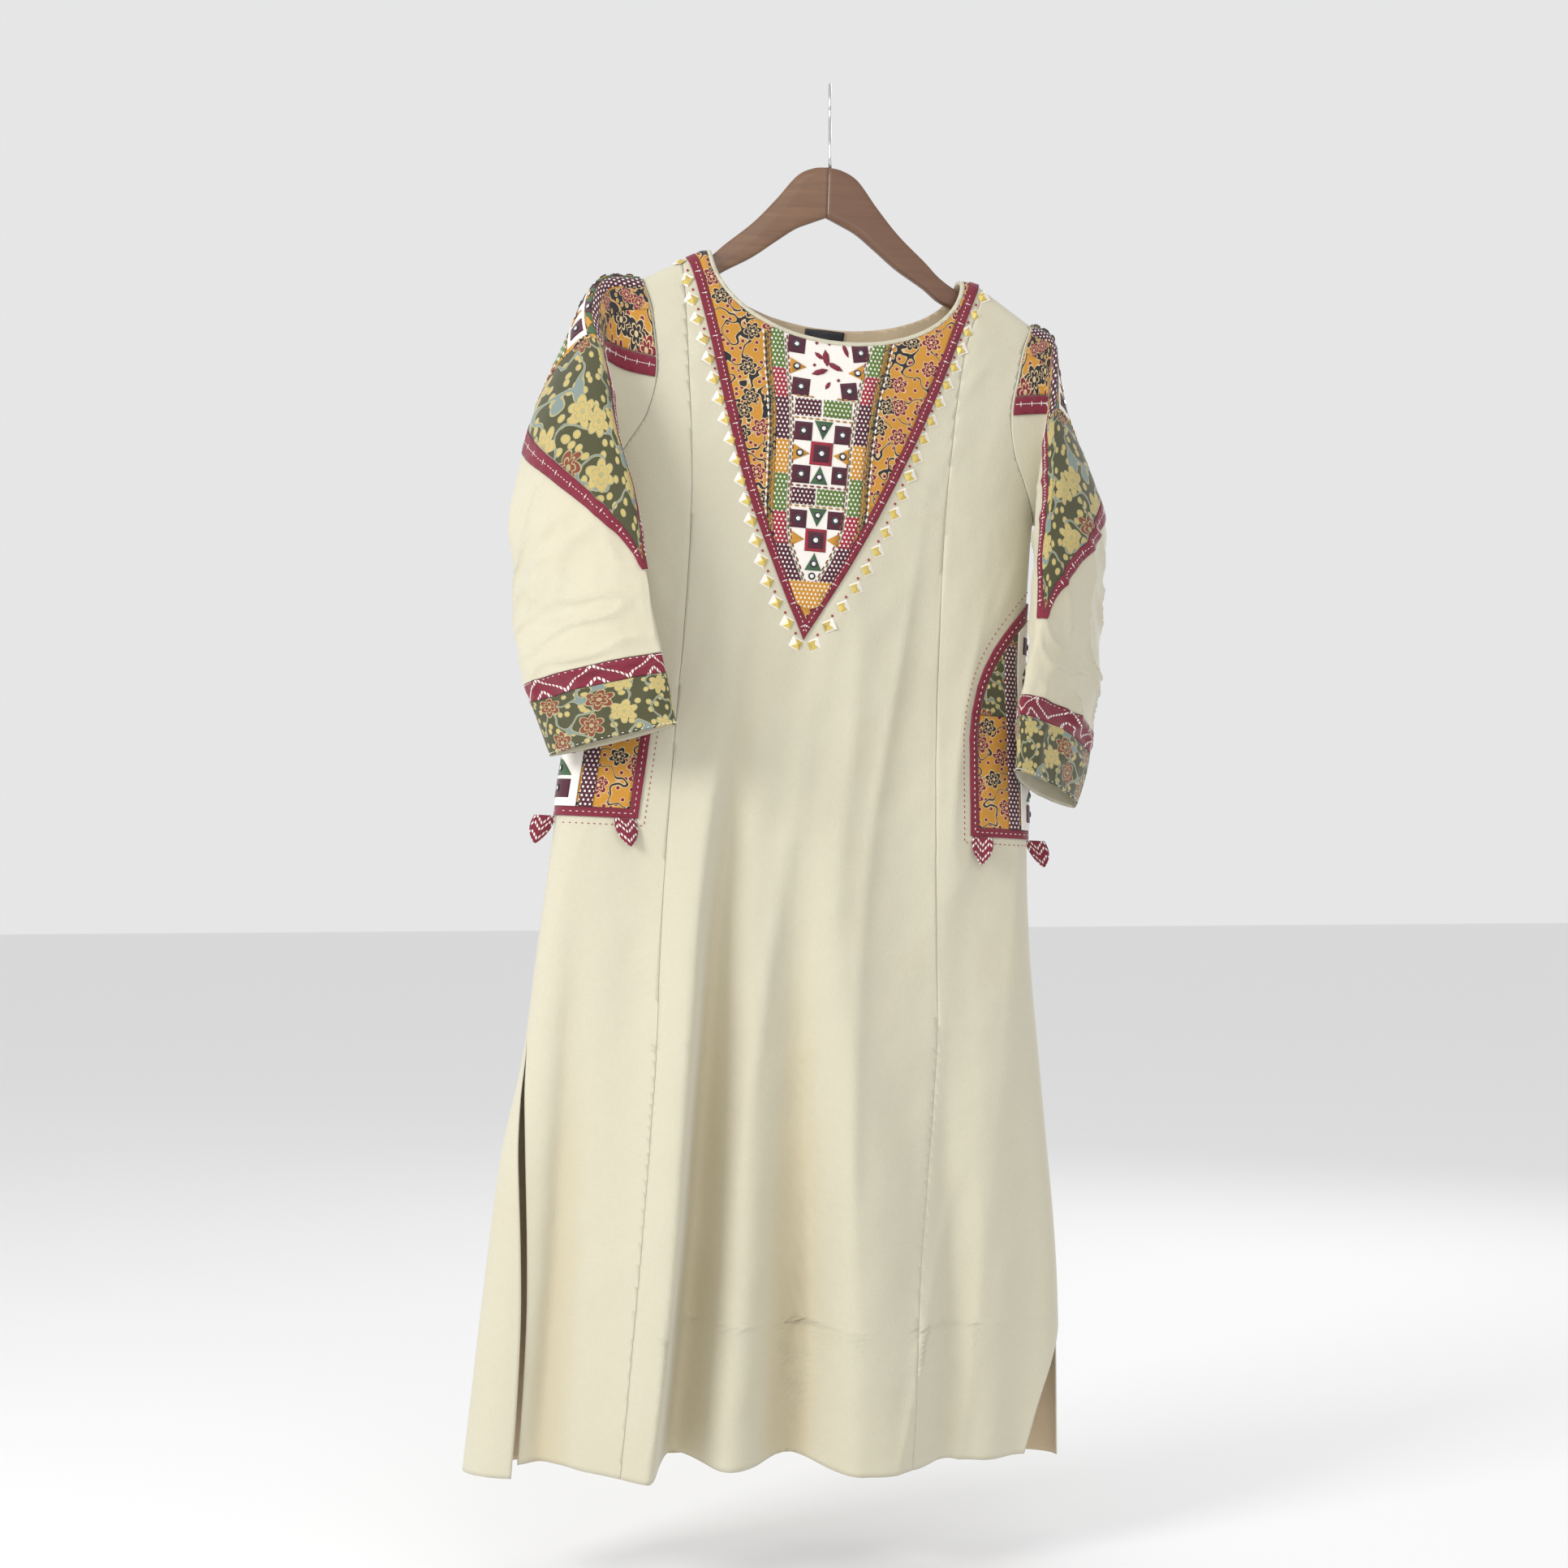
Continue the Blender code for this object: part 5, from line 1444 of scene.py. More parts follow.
    def strips(self) -> None:
        """Lay the dotted strips and the tip on."""
        low = self.over + 0.0006
        high = low + 0.0006
        for side in Side:
            for index, segment in enumerate(STRIP_SEGMENTS):
                start, end = segment.start / MM, segment.end / MM
                bm = self.body.sheet(Face.FRONT).ground((-0.085, start - 0.006), (0.06, end + 0.006))
                cut(bm, lambda x, y: y - start)
                cut(bm, lambda x, y: end - y)
                cut(bm, self.along_strip(side))
                cut(bm, self.outside_binding)
                name = f"yoke_strip_{side.word}_{index}"
                Piece(name, segment.finish, low, high, slot="patchwork").build(bm)
        tip = self.ground()
        cut(tip, self.between_strips(self.strip_half))
        cut(tip, lambda x, y: y - self.mustard_top)
        cut(tip, lambda x, y: self.mustard_end - y - abs(x + 0.0158) * 0.5)
        Piece("yoke_strip_tip", DOTTED_MUSTARD, low, high, slot="patchwork").build(tip)

    def lines(self) -> None:
        """Sew the lines beside the strips and the lines across, above and below the bands."""
        threads = {line.name: Thread("yoke_line_" + line.name, line.finish) for line in YOKE_LINES}
        for line in YOKE_LINES:
            count = int((self.middle_end - self.line_top) / self.line_pitch - line.phase) + 1
            for side in Side:
                for index in range(count):
                    drop = self.line_top + self.line_pitch * (index + line.phase)
                    here = of(read(STRIPS, drop * MM), side)
                    there = of(read(STRIPS, drop * MM + 2), side)
                    offset = here / MM + side.value * line.away
                    if self.outside_binding(offset, drop) < 0.002 or self.inside(offset, drop) < self.piping:
                        continue
                    frame, turn = self.frame(offset, drop), math.atan2(2.0, there - here)
                    threads[line.name].stitch(frame, turn, 0.0058, self.over + 0.0007, self.line_width)
        for level, name in ((0.3325, "gold"), (0.3115, "gold"), (0.3965, "rust"), (0.4157, "gold")):
            for index in range(9):
                offset = -0.041 + self.line_pitch * index
                if level < 0.32 and -0.026 < offset < -0.004:
                    continue
                frame = self.frame(offset, level)
                threads[name].stitch(frame, 0.0, 0.0056, self.over + 0.0010, self.line_width)
        for thread in threads.values():
            thread.build()

    def running(self) -> None:
        """Sew the stitches along and across the piping."""
        thread = Thread("yoke_running_stitch", WHITE_THREAD)
        ahead = 0.004
        for side in Side:
            for index in range(84):
                drop = self.running_top + self.running_pitch * index
                line = self.line(side, drop)
                turn = math.atan2(ahead, self.line(side, drop + ahead) - line)
                frame = self.frame(line - side.value * self.piping * 0.62, drop)
                thread.stitch(frame, turn, 0.0027, LIE + PIPING + 0.0001)
                if index % 5 == 2:
                    frame = self.frame(line - side.value * self.piping * 0.5, drop)
                    thread.stitch(frame, turn + math.pi / 2, 0.0072, LIE + PIPING + 0.0002)
        thread.build()

    def points(self) -> None:
        """Sew the gold and cream mirror points outside the V, with a knot between each pair."""
        gold = Thread("yoke_points_gold", GOLD)
        cream = Thread("yoke_points_cream", WHITE_THREAD)
        knots = Thread("yoke_knots", MAROON_THREAD)
        first, last = LEGS[0].drop, LEGS[-1].drop
        count = round((last - first) / self.point_pitch)
        for side in Side:
            lean = self.point_lean * side.value
            for index in range(count + 1):
                drop = mix(first, last, index / count)
                offset = of(read(LEGS, drop), side)
                cream.facet(self.frame(offset, drop), lean, self.point_radius * 1.25, 0.0012)
                inner = self.frame(offset - side.value * 0.0012, drop + 0.0008)
                gold.facet(inner, lean, self.point_radius * 0.92, 0.0021)
                if index < count:
                    between = mix(first, last, (index + 0.5) / count)
                    spot = of(read(LEGS, between), side) - side.value * 0.004
                    knots.disc(self.frame(spot, between), 0.0013, 0.0006)
        for thread in (gold, cream, knots):
            thread.build(smooth_faces=False)


# Sleeves

class Ring(NamedTuple):
    """One section of a sleeve: its front crease, its seam behind and half its thickness."""
    step: float
    front_x: float
    front_y: float
    front_z: float
    seam_x: float
    seam_y: float
    seam_z: float
    thick: float


class Turn(NamedTuple):
    """How far the sleeve's front half has turned towards the body, in degrees."""
    step: float
    degrees: float


class Leaf(NamedTuple):
    """The shoulder patch's edges round the sleeve."""
    step: float
    behind: float
    ahead: float


RINGS = {
    Side.LEFT: (
        Ring(0.0, -0.1860, 0.000, -0.1974, -0.2240, 0.000, -0.393, 0.024),
        Ring(1.0, -0.2225, -0.002, -0.2005, -0.2500, 0.004, -0.420, 0.034),
        Ring(2.0, -0.2380, -0.025, -0.2350, -0.2720, 0.012, -0.445, 0.038),
        Ring(3.0, -0.2355, -0.060, -0.2900, -0.2880, 0.018, -0.465, 0.036),
        Ring(4.0, -0.2290, -0.085, -0.3450, -0.2990, 0.022, -0.482, 0.033),
        Ring(5.0, -0.2140, -0.098, -0.4100, -0.3030, 0.020, -0.503, 0.029),
        Ring(6.0, -0.2010, -0.104, -0.4840, -0.3040, 0.012, -0.530, 0.025),
        Ring(7.0, -0.1960, -0.109, -0.5200, -0.3020, -0.006, -0.556, 0.022),
        Ring(8.0, -0.1880, -0.112, -0.5600, -0.2990, -0.020, -0.586, 0.019),
        Ring(9.0, -0.1840, -0.114, -0.5780, -0.2930, -0.024, -0.603, 0.018),
        Ring(10.0, -0.1750, -0.118, -0.6250, -0.2770, -0.034, -0.652, 0.017),
    ),
    Side.RIGHT: (
        Ring(0.0, 0.2030, 0.000, -0.2224, 0.2050, 0.000, -0.417, 0.024),
        Ring(1.0, 0.2240, -0.004, -0.2370, 0.2430, 0.006, -0.434, 0.033),
        Ring(2.0, 0.2180, -0.030, -0.2850, 0.2480, 0.016, -0.462, 0.036),
        Ring(3.0, 0.2080, -0.055, -0.3380, 0.2600, 0.022, -0.482, 0.034),
        Ring(4.0, 0.1980, -0.078, -0.3930, 0.2680, 0.024, -0.502, 0.031),
        Ring(5.0, 0.1880, -0.090, -0.4500, 0.2720, 0.022, -0.525, 0.028),
        Ring(6.0, 0.1790, -0.098, -0.5200, 0.2730, 0.014, -0.560, 0.024),
        Ring(7.0, 0.1700, -0.100, -0.5570, 0.2700, 0.006, -0.590, 0.021),
        Ring(8.0, 0.1620, -0.100, -0.5920, 0.2640, 0.000, -0.624, 0.019),
        Ring(9.0, 0.1580, -0.102, -0.6110, 0.2600, -0.002, -0.646, 0.018),
        Ring(10.0, 0.1530, -0.105, -0.6640, 0.2430, -0.012, -0.697, 0.017),
    ),
}
TURNS = (
    Turn(0.0, 0.0), Turn(1.0, 10.0), Turn(2.0, 35.0), Turn(3.0, 70.0), Turn(4.0, 105.0),
    Turn(5.0, 126.0), Turn(6.0, 131.0), Turn(8.0, 138.0), Turn(10.0, 139.0),
)
SHOULDER_LEAF = (
    Leaf(0.06, -0.250, 0.245), Leaf(1.00, -0.255, 0.215), Leaf(2.00, -0.260, 0.150),
    Leaf(3.00, -0.250, 0.085), Leaf(4.00, -0.215, 0.060), Leaf(5.00, -0.150, 0.050),
    Leaf(6.00, -0.035, 0.012),
)


class Stripe(NamedTuple):
    """A stripe down the sleeve cap, by its edges round the sleeve."""
    start: float
    end: float
    finish: Finish


CAP_STRIPES = (
    Stripe(-0.170, -0.145, DOTTED_MUSTARD),
    Stripe(-0.140, -0.100, DOTTED_GREEN),
    Stripe(-0.094, -0.024, WHITE_PATCH),
    Stripe(-0.018, 0.030, GREEN_PATCH),
    Stripe(0.036, 0.072, DOTTED_PLUM),
    Stripe(0.078, 0.130, DARK_PRINT),
)


@dataclass
class Sleeve:
    """A three-quarter sleeve with its cuff and the leaf-shaped patch over its cap."""
    body: Body
    side: Side
    crease_power: float = 1.35
    puff: float = 0.020
    armhole_blend: float = 4.0
    strip_top: float = 8.0
    band_top: float = 9.0
    cuff_end: float = 10.0
    seam_steps: dict[float, float] = field(default_factory=lambda: {8.0: 0.011, 9.0: 0.008})
    girth: float = 0.28
    pitch: float = 0.045             # cloth to one step, for the slant of a stitch
    piping: float = 0.030            # the piping's width as a share of the girth
    gap: float = 0.002
    leaf_start: float = 0.06
    leaf_end: float = 6.0
    cap_end: float = 2.55            # step where the patchwork ends and the olive print starts
    columns: int = 96
    square_columns: tuple[float, float] = (-0.059, 0.006)
    square_top: float = 0.28         # step of the first square
    square_pitch: float = 0.33
    square_half: float = 0.024       # half a square round the sleeve
    square_reach: float = 0.13       # half a square along it, in steps

    def armhole_point(self, around: float) -> Vector:
        """The armhole's edge: 0 is the shoulder tip, 0.5 the underarm, the front between them."""
        around = around % 1.0
        face = Face.FRONT if around <= 0.5 else Face.BACK
        drop = mix(ARMHOLE[0].drop, self.body.underarm, (1 - math.cos(math.tau * around)) / 2)
        point = self.body.point(self.body.armhole_angle(self.side, drop), drop, face)
        return point + Vector((self.side.value * (SEAM + 0.0001), 0.0, 0.0))

    def ring_at(self, step: float) -> tuple[Vector, Vector, float]:
        """The front crease, the seam and the half thickness at a step."""
        row = read(RINGS[self.side], step)
        return Vector(row[1:4]), Vector(row[4:7]), row.thick

    def length_at(self, step: float) -> float:
        """How much cloth lies between the armhole and a step."""
        middles = [(Vector(ring[1:4]) + Vector(ring[4:7])) / 2 for ring in RINGS[self.side]]
        runs = [(after - before).length for before, after in zip(middles, middles[1:])]
        whole = min(int(step), len(runs) - 1)
        return sum(runs[:whole]) + runs[whole] * (step - whole)

    def chart(self, start: float) -> Chart:
        """What turns a place round and along the sleeve into metres below a step."""
        top = self.length_at(start)
        return lambda around, step: (around * self.girth, self.length_at(step) - top)

    def wrinkle(self, around: float, step: float) -> float:
        """The small folds of the sleeve."""
        seed = self.side.value * 3.0
        turn = math.tau * around
        ring = Vector((math.cos(turn), math.sin(turn), 0.0))
        place = ring * 1.6 + Vector((seed, 0.0, step * 0.75))
        total = noise.noise(place) * 0.0060
        ridged = 1 - abs(noise.noise(ring * 1.1 + Vector((seed, 2.0, step * 1.1 + around * 2)))) * 2
        total += max(ridged, 0.0) ** 4 * 0.0048 * smooth((step - 2.5) / 2)
        total += noise.noise(ring * 6 + Vector((seed, 0.0, step * 3))) * 0.0014
        return total * smooth(step / 0.8) * smooth((self.cuff_end + 0.5 - step) / 1.5)

    def point(self, around: float, step: float) -> Vector:
        """A point of the sleeve's outer cloth."""
        front, seam, thick = self.ring_at(step)
        middle, long_axis = (front + seam) / 2, (front - seam) / 2
        swing = math.radians(read(TURNS, step).degrees)
        short_axis = Vector((-self.side.value * math.sin(swing), -math.cos(swing), 0.0))
        short_axis = (short_axis - short_axis.project(long_axis)).normalized()
        turn = math.tau * around
        flat_way = signed_power(math.sin(turn), self.crease_power)
        point = middle + long_axis * math.cos(turn) + short_axis * thick * flat_way
        point += short_axis * self.wrinkle(around, step) * signed_power(math.sin(turn), 0.5)
        stay = 1 - smooth(step / self.armhole_blend)
        if stay <= 0:
            return point
        outer_half = max(-math.sin(turn), 0.0)
        puff = self.side.value * self.puff * outer_half * math.sin(math.pi * step / self.armhole_blend)
        start_front, start_seam, _ = self.ring_at(0.0)
        drift = (seam - start_seam).lerp(front - start_front, (1 + math.cos(turn)) / 2)
        return point.lerp(self.armhole_point(around) + drift, stay) + Vector((puff, 0.0, 0.0))

    def sheet(self, start: float, end: float, rows: int) -> Sheet:
        """A length of the sleeve, laid flat as its place round and along it."""
        grid = []
        for row in range(rows + 1):
            step = mix(start, end, row / rows)
            places = [column / self.columns - 0.5 for column in range(self.columns + 1)]
            # the whole sleeve takes a little of the painted fold shade
            grid.append([Spot(self.point(place, step), (place, step), 0.15) for place in places])
        return Sheet(grid, tube=True)

    def edges(self) -> tuple[Field, Field]:
        """Fields that measure from the shoulder patch's two edges."""
        return (
            lambda around, step: around - read(SHOULDER_LEAF, step).behind,
            lambda around, step: read(SHOULDER_LEAF, step).ahead - around,
        )

    def frame(self, around: float, step: float) -> Frame:
        """The frame of the sleeve at a flat place."""
        front, seam, _ = self.ring_at(step)
        outward = self.point(around, step) - (front + seam) / 2
        return frame_on(self.point, around, step, (0.004, 0.02), outward)

    def build(self) -> None:
        """Show the sleeve, its cuff and its shoulder patch."""
        word = self.side.word
        gap = self.seam_steps
        parts = (
            ("sleeve_", 0.0, self.strip_top - gap[8.0], 150, COTTON, "cream", None),
            ("cuff_strip_", self.strip_top + gap[8.0], self.band_top - gap[9.0], 12, TIE_DYE, "maroon", None),
            ("cuff_band_", self.band_top + gap[9.0], self.cuff_end, 16, OLIVE_PRINT, "olive", COTTON),
        )
        upper = None
        for name, start, end, rows, finish, slot, lining in parts:
            sheet = self.sheet(start, end, rows)
            upper = upper or sheet
            piece = Piece("cloth_" + name + word, finish, -CLOTH, 0.0, name + word, slot, lining)
            declare_sheet(piece.build(sheet.ground(), self.chart(start)))
        self.cap(upper, self.chart(0.0))
        self.stitches()

    def cap(self, sheet: Sheet, chart: Chart) -> None:
        """Lay the shoulder patch, its stripes, its mirrors and its piping on."""
        word = self.side.word
        from_behind, from_ahead = self.edges()

        def leaf() -> bmesh.types.BMesh:
            """The ground along the patch."""
            bm = sheet.ground((-0.40, -1.0), (0.35, self.leaf_end + 0.1))
            cut(bm, lambda around, step: step - self.leaf_start)
            cut(bm, lambda around, step: self.leaf_end - step)
            return bm

        patch = leaf()
        for edge in (from_behind, from_ahead):
            cut(patch, lambda around, step: edge(around, step) - self.piping - self.gap)
        name = "shoulder_patch_" + word
        declare_sheet(Piece("cloth_" + name, OLIVE_PRINT, node=name, slot="patchwork").build(patch, chart))

        def nearest(around: float, step: float) -> float:
            """How far inside the nearer edge a place is."""
            return min(from_behind(around, step), from_ahead(around, step))

        piping = leaf()
        cut(piping, from_behind)
        cut(piping, from_ahead)
        cut(piping, lambda around, step: from_behind(around, step) - from_ahead(around, step), keep_all=True)
        cut(piping, lambda around, step: self.piping - nearest(around, step))
        name = "shoulder_piping_" + word
        Piece("cloth_" + name, MAROON, LIE, LIE + PIPING, name, "maroon").build(piping, chart)

        over = LIE + PATCH
        inset = self.piping + self.gap
        upper = leaf()
        for edge in (from_behind, from_ahead):
            cut(upper, lambda around, step: edge(around, step) - inset)
        cut(upper, lambda around, step: self.cap_end - step)
        Piece("cap_ground_" + word, MUSTARD_PRINT, over, over + SKIN, slot="patchwork").build(upper, chart)
        for index, stripe in enumerate(CAP_STRIPES):
            bm = leaf()
            for edge in (from_behind, from_ahead):
                cut(bm, lambda around, step: edge(around, step) - inset - 0.004)
            cut(bm, lambda around, step: self.cap_end - 0.06 - step)
            cut(bm, lambda around, step: around - stripe.start)
            cut(bm, lambda around, step: stripe.end - around)
            name = f"cap_stripe_{word}_{index}"
            Piece(name, stripe.finish, over + 0.0006, over + 0.0012, slot="patchwork").build(bm, chart)
        self.mirrors(sheet, over + 0.0013, chart)

    def mirrors(self, sheet: Sheet, low: float, chart: Chart) -> None:
        """Sew squares with mirrors down the cap's white and green stripes."""
        glass = Thread("cap_mirrors_" + self.side.word, MIRROR)
        rings = Thread("cap_mirror_rings_" + self.side.word, BLACK_THREAD)
        half, reach = self.square_half, self.square_reach
        for column, middle in enumerate(self.square_columns):
            for index in range(7):
                step = self.square_top + self.square_pitch * index
                corners = ((-half, -reach), (half, -reach), (half, reach), (-half, reach))
                if (index + column) % 2:
                    corners = ((-half, -reach), (half, 0.0), (-half, reach))
                bm = sheet.ground((middle - 0.05, step - 0.25), (middle + 0.05, step + 0.25))
                cut_outline(bm, [(middle + x, step + y) for x, y in corners])
                finish = MUSTARD_PATCH if (index + column) % 2 else PLUM_PATCH
                name = f"cap_square_{self.side.word}_{column}{index}"
                Piece(name, finish, low, low + SKIN, slot="patchwork").build(bm, chart)
                frame = self.frame(middle - 0.004 * ((index + column) % 2), step)
                rings.disc(frame, 0.0037, low + 0.0008)
                glass.disc(frame, 0.0023, low + 0.0014)
        rings.build()
        glass.build()

    def stitches(self) -> None:
        """Sew running stitches along the piping, across the cap's lower edge and above the cuff."""
        white = Thread("sleeve_stitches_" + self.side.word, WHITE_THREAD)
        lift = LIE + PIPING + 0.0002
        for index in range(96):
            step = 0.12 + 0.061 * index
            leaf, ahead = read(SHOULDER_LEAF, step), read(SHOULDER_LEAF, step + 0.02)
            for here, there, inward in ((leaf.behind, ahead.behind, 1), (leaf.ahead, ahead.ahead, -1)):
                if step > 5.85:
                    continue
                run, rise = (there - here) * self.girth, 0.02 * self.pitch
                turn = math.atan2(rise, run)
                around = here + inward * self.piping * 0.55
                white.stitch(self.frame(around, step), turn, 0.0026, lift)
                if index % 5 == 2:
                    white.stitch(self.frame(around, step), turn + math.pi / 2, 0.0066, lift)
        for index in range(60):
            around = -0.5 + index / 60
            white.stitch(self.frame(around, 8.06), 0.0, 0.0026, 0.0003)
            white.stitch(self.frame(around, 9.96), 0.0, 0.0030, 0.0003)
        white.build()


# Pockets

class SideStripe(NamedTuple):
    """A stripe down a pocket: its edges in from the seam, the drop where it starts and its finish."""
    start: float
    end: float
    top: float
    finish: Finish


POCKET_STRIPES = (
    SideStripe(-0.016, 0.014, 0.50, WHITE_PATCH),
    SideStripe(0.016, 0.028, 0.53, DOTTED_PLUM),
    SideStripe(-0.030, -0.018, 0.53, DOTTED_GREEN),
)


@dataclass
class Pocket:
    """The patch over one side seam, with its piping, stitches and leaf-shaped ears."""
    body: Body
    side: Side
    top: float = 0.484
    bottom: float = 0.717
    half: float = 0.070              # offset that the patch covers on the front and again on the back
    arch: float = 0.170              # drop over which its pointed top widens
    power: float = 2.4
    piping: float = 0.0085
    shrink: float = 0.992
    tip_piping: float = 0.016
    ear_length: float = 0.026
    ear_width: float = 0.024
    ear_flare: float = 0.010
    columns: int = 24
    olive_end: float = 0.600         # drop where the olive print ends
    square_top: float = 0.528
    square_pitch: float = 0.0205
    square_half: float = 0.0085

    def width(self, drop: float) -> float:
        """How much of its full width the pocket has at a drop."""
        rise = min((drop - self.top) / self.arch, 1.0)
        return 1 - (1 - rise) ** self.power

    def point(self, across: float, drop: float) -> Vector:
        """The cloth beside the side seam; across is positive on the front."""
        face = Face.FRONT if across >= 0 else Face.BACK
        half = read(SECTIONS, drop).half
        angle = self.body.angle_at(self.side.value * (half - abs(across)), drop)
        return self.body.point(angle, drop, face)

    def sheet(self) -> Sheet:
        """The cloth round the side seam, laid flat as the place in from the seam."""
        rows = []
        for row in range(61):
            drop = mix(self.top - 0.012, self.bottom + 0.012, row / 60)
            spots = []
            for column in range(-self.columns, self.columns + 1):
                across = math.copysign((abs(column) / self.columns) ** 1.9, column) * (self.half + 0.012)
                spots.append(Spot(self.point(across, drop), (across, drop)))
            rows.append(spots)
        return Sheet(rows)

    def path(self) -> list[tuple[Flat, Flat]]:
        """The front half of the outline from its point to the bottom: outer and inner line."""
        made = [((0.0, self.top), (0.0, self.top + self.tip_piping))]
        for rise in (0.05, 0.10, 0.16, 0.22, 0.30, 0.38, 0.49, 0.60, 1.0):
            drop = mix(self.top, self.bottom, rise)
            inner = mix(self.top + self.tip_piping, self.bottom - self.piping, rise)
            width = self.width(drop)
            made.append(((self.half * width, drop), ((self.half - self.piping) * width, inner)))
        return made

    def build(self) -> None:
        """Show the patch, its piping, its threads and its ears."""
        word, sheet = self.side.word, self.sheet()
        half = self.path()
        mirrored = [tuple((-x, y) for x, y in pair) for pair in reversed(half[1:])]
        path = half + mirrored
        lowest = self.bottom - self.piping
        inner = []
        for _, (x, y) in path:
            inner.append((x * self.shrink, y - SEAM if abs(y - lowest) < 1e-6 else y + SEAM))
        patch = sheet.ground()
        cut_outline(patch, inner)
        name = "pocket_patch_" + word
        declare_sheet(Piece("cloth_" + name, MUSTARD_PRINT, node=name, slot="patchwork").build(patch))

        whole = bmesh.new()
        for (outer_a, inner_a), (outer_b, inner_b) in zip(path, path[1:] + path[:1]):
            part = sheet.ground()
            cut_outline(part, [outer_a, outer_b, inner_b, inner_a])
            mesh = bpy.data.meshes.new("strip")
            part.to_mesh(mesh)
            part.free()
            whole.from_mesh(mesh)
            bpy.data.meshes.remove(mesh)
        name = "pocket_piping_" + word
        Piece("cloth_" + name, MAROON, LIE, LIE + PIPING, name, "maroon").build(whole)

        over = LIE + PATCH
        olive = sheet.ground()
        cut_outline(olive, inner)
        cut(olive, lambda x, y: self.olive_end - y)
        Piece("pocket_top_" + word, OLIVE_PRINT, over, over + 0.0006, slot="patchwork").build(olive)
        for index, stripe in enumerate(POCKET_STRIPES):
            bm = sheet.ground()
            cut_outline(bm, inner)
            cut(bm, lambda x, y: x - stripe.start)
            cut(bm, lambda x, y: stripe.end - x)
            cut(bm, lambda x, y: y - stripe.top)
            name = f"pocket_stripe_{word}_{index}"
            Piece(name, stripe.finish, over + 0.0007, over + 0.0013, slot="patchwork").build(bm)
        self.mirrors(sheet, over + 0.0014)
        self.threads(path)
        self.ears()

    def frame(self, across: float, drop: float) -> Frame:
        """The frame of the cloth beside the seam."""
        outward = Vector((self.side.value, -math.copysign(1.0, across) * 0.8, 0.0))
        return frame_on(self.point, across, drop, (0.001, 0.001), outward)

    def mirrors(self, sheet: Sheet, low: float) -> None:
        """Sew squares with mirrors down the side."""
        glass = Thread("pocket_mirrors_" + self.side.word, MIRROR)
        rings = Thread("pocket_mirror_rings_" + self.side.word, BLACK_THREAD)
        half = self.square_half
        for index in range(9):
            drop = self.square_top + self.square_pitch * index
            corners = ((-half, -half), (half, -half), (half, half), (-half, half))
            if index % 2:
                corners = ((0.0, -half), (half, half), (-half, half))
            bm = sheet.ground((-0.03, drop - 0.02), (0.03, drop + 0.02))
            cut_outline(bm, [(x - 0.001, drop + y) for x, y in corners])
            finish = GREEN_PATCH if index % 2 else PLUM_PATCH
            name = f"pocket_square_{self.side.word}_{index}"
            Piece(name, finish, low, low + SKIN, slot="patchwork").build(bm)
            frame = self.frame(0.0005, drop + 0.002 * (index % 2))
            rings.disc(frame, 0.0036, low + 0.0009)
            glass.disc(frame, 0.0023, low + 0.0015)
        rings.build()
        glass.build()

    def threads(self, path: Sequence[tuple[Flat, Flat]]) -> None:
        """Sew white stitches on the piping and a maroon running stitch outside it."""
        white = Thread("pocket_stitches_" + self.side.word, WHITE_THREAD)
        maroon = Thread("pocket_outline_stitches_" + self.side.word, MAROON_THREAD)
        rounds = ((white, 0.5, LIE + PIPING, 0.0030), (maroon, -0.75, 0.0002, 0.0028))
        for (outer_a, inner_a), (outer_b, inner_b) in zip(path, path[1:] + path[:1]):
            for thread, share, lift, length in rounds:
                start = [mix(a, b, share) for a, b in zip(outer_a, inner_a)]
                end = [mix(a, b, share) for a, b in zip(outer_b, inner_b)]
                run, rise = end[0] - start[0], end[1] - start[1]
                count = max(int(math.hypot(run, rise) / 0.0052), 1)
                for index in range(count):
                    at = (index + 0.5) / count
                    frame = self.frame(start[0] + run * at, start[1] + rise * at)
                    thread.stitch(frame, math.atan2(rise, run), length, lift + 0.0002)
        white.build()
        maroon.build()

    def ears(self) -> None:
        """Hang one ear at the side and one at the front."""
        drop = self.bottom + SEAM
        turn = 0.0 if self.side is Side.RIGHT else math.pi
        value = self.side.value
        seam = self.body.point(turn, drop, Face.FRONT) + Vector((value * 0.0012, 0.0, 0.0))
        front = self.frame(self.half - self.ear_width / 2, drop)
        level = Vector((value, 0.0, -value * self.body.tilt(drop)))
        self.ear("side", seam + level * self.ear_width * 0.4, level, Vector((value * 0.35, 0.0, -1.0)))
        down = Vector((-value * 0.15, -self.ear_flare / self.ear_length, -1.0))
        self.ear("front", front.point + front.normal * 0.0025, level, down)

    def ear(self, name: str, base: Vector, across: Vector, down: Vector) -> None:
        """A leaf of maroon cloth that hangs from a base line."""
        node = f"pocket_ear_{name}_{self.side.word}"
        outward = across.cross(down).normalized()
        rows = []
        for step in range(13):
            share = step / 12
            width = self.ear_width * (0.8 + 0.7 * share - 1.4 * share ** 2)
            row = []
            for column in range(9):
                place = column / 8 - 0.5
                curl = outward * 0.0015 * math.sin(share * 3.0) * math.cos(place * 5.0)
                point = base + down * self.ear_length * share + across * width * place + curl
                row.append(Spot(point, (place * width, share * self.ear_length)))
            rows.append(row)
        bm = Sheet(rows).ground()
        Piece("cloth_" + node, TIE_DYE_SMALL, -PATCH / 2, PATCH / 2, node, "maroon").build(bm)


# Hanger

class HangerTop(NamedTuple):
    """The top edge of a hanger arm and its height there."""
    out: float
    drop: float
    height: float


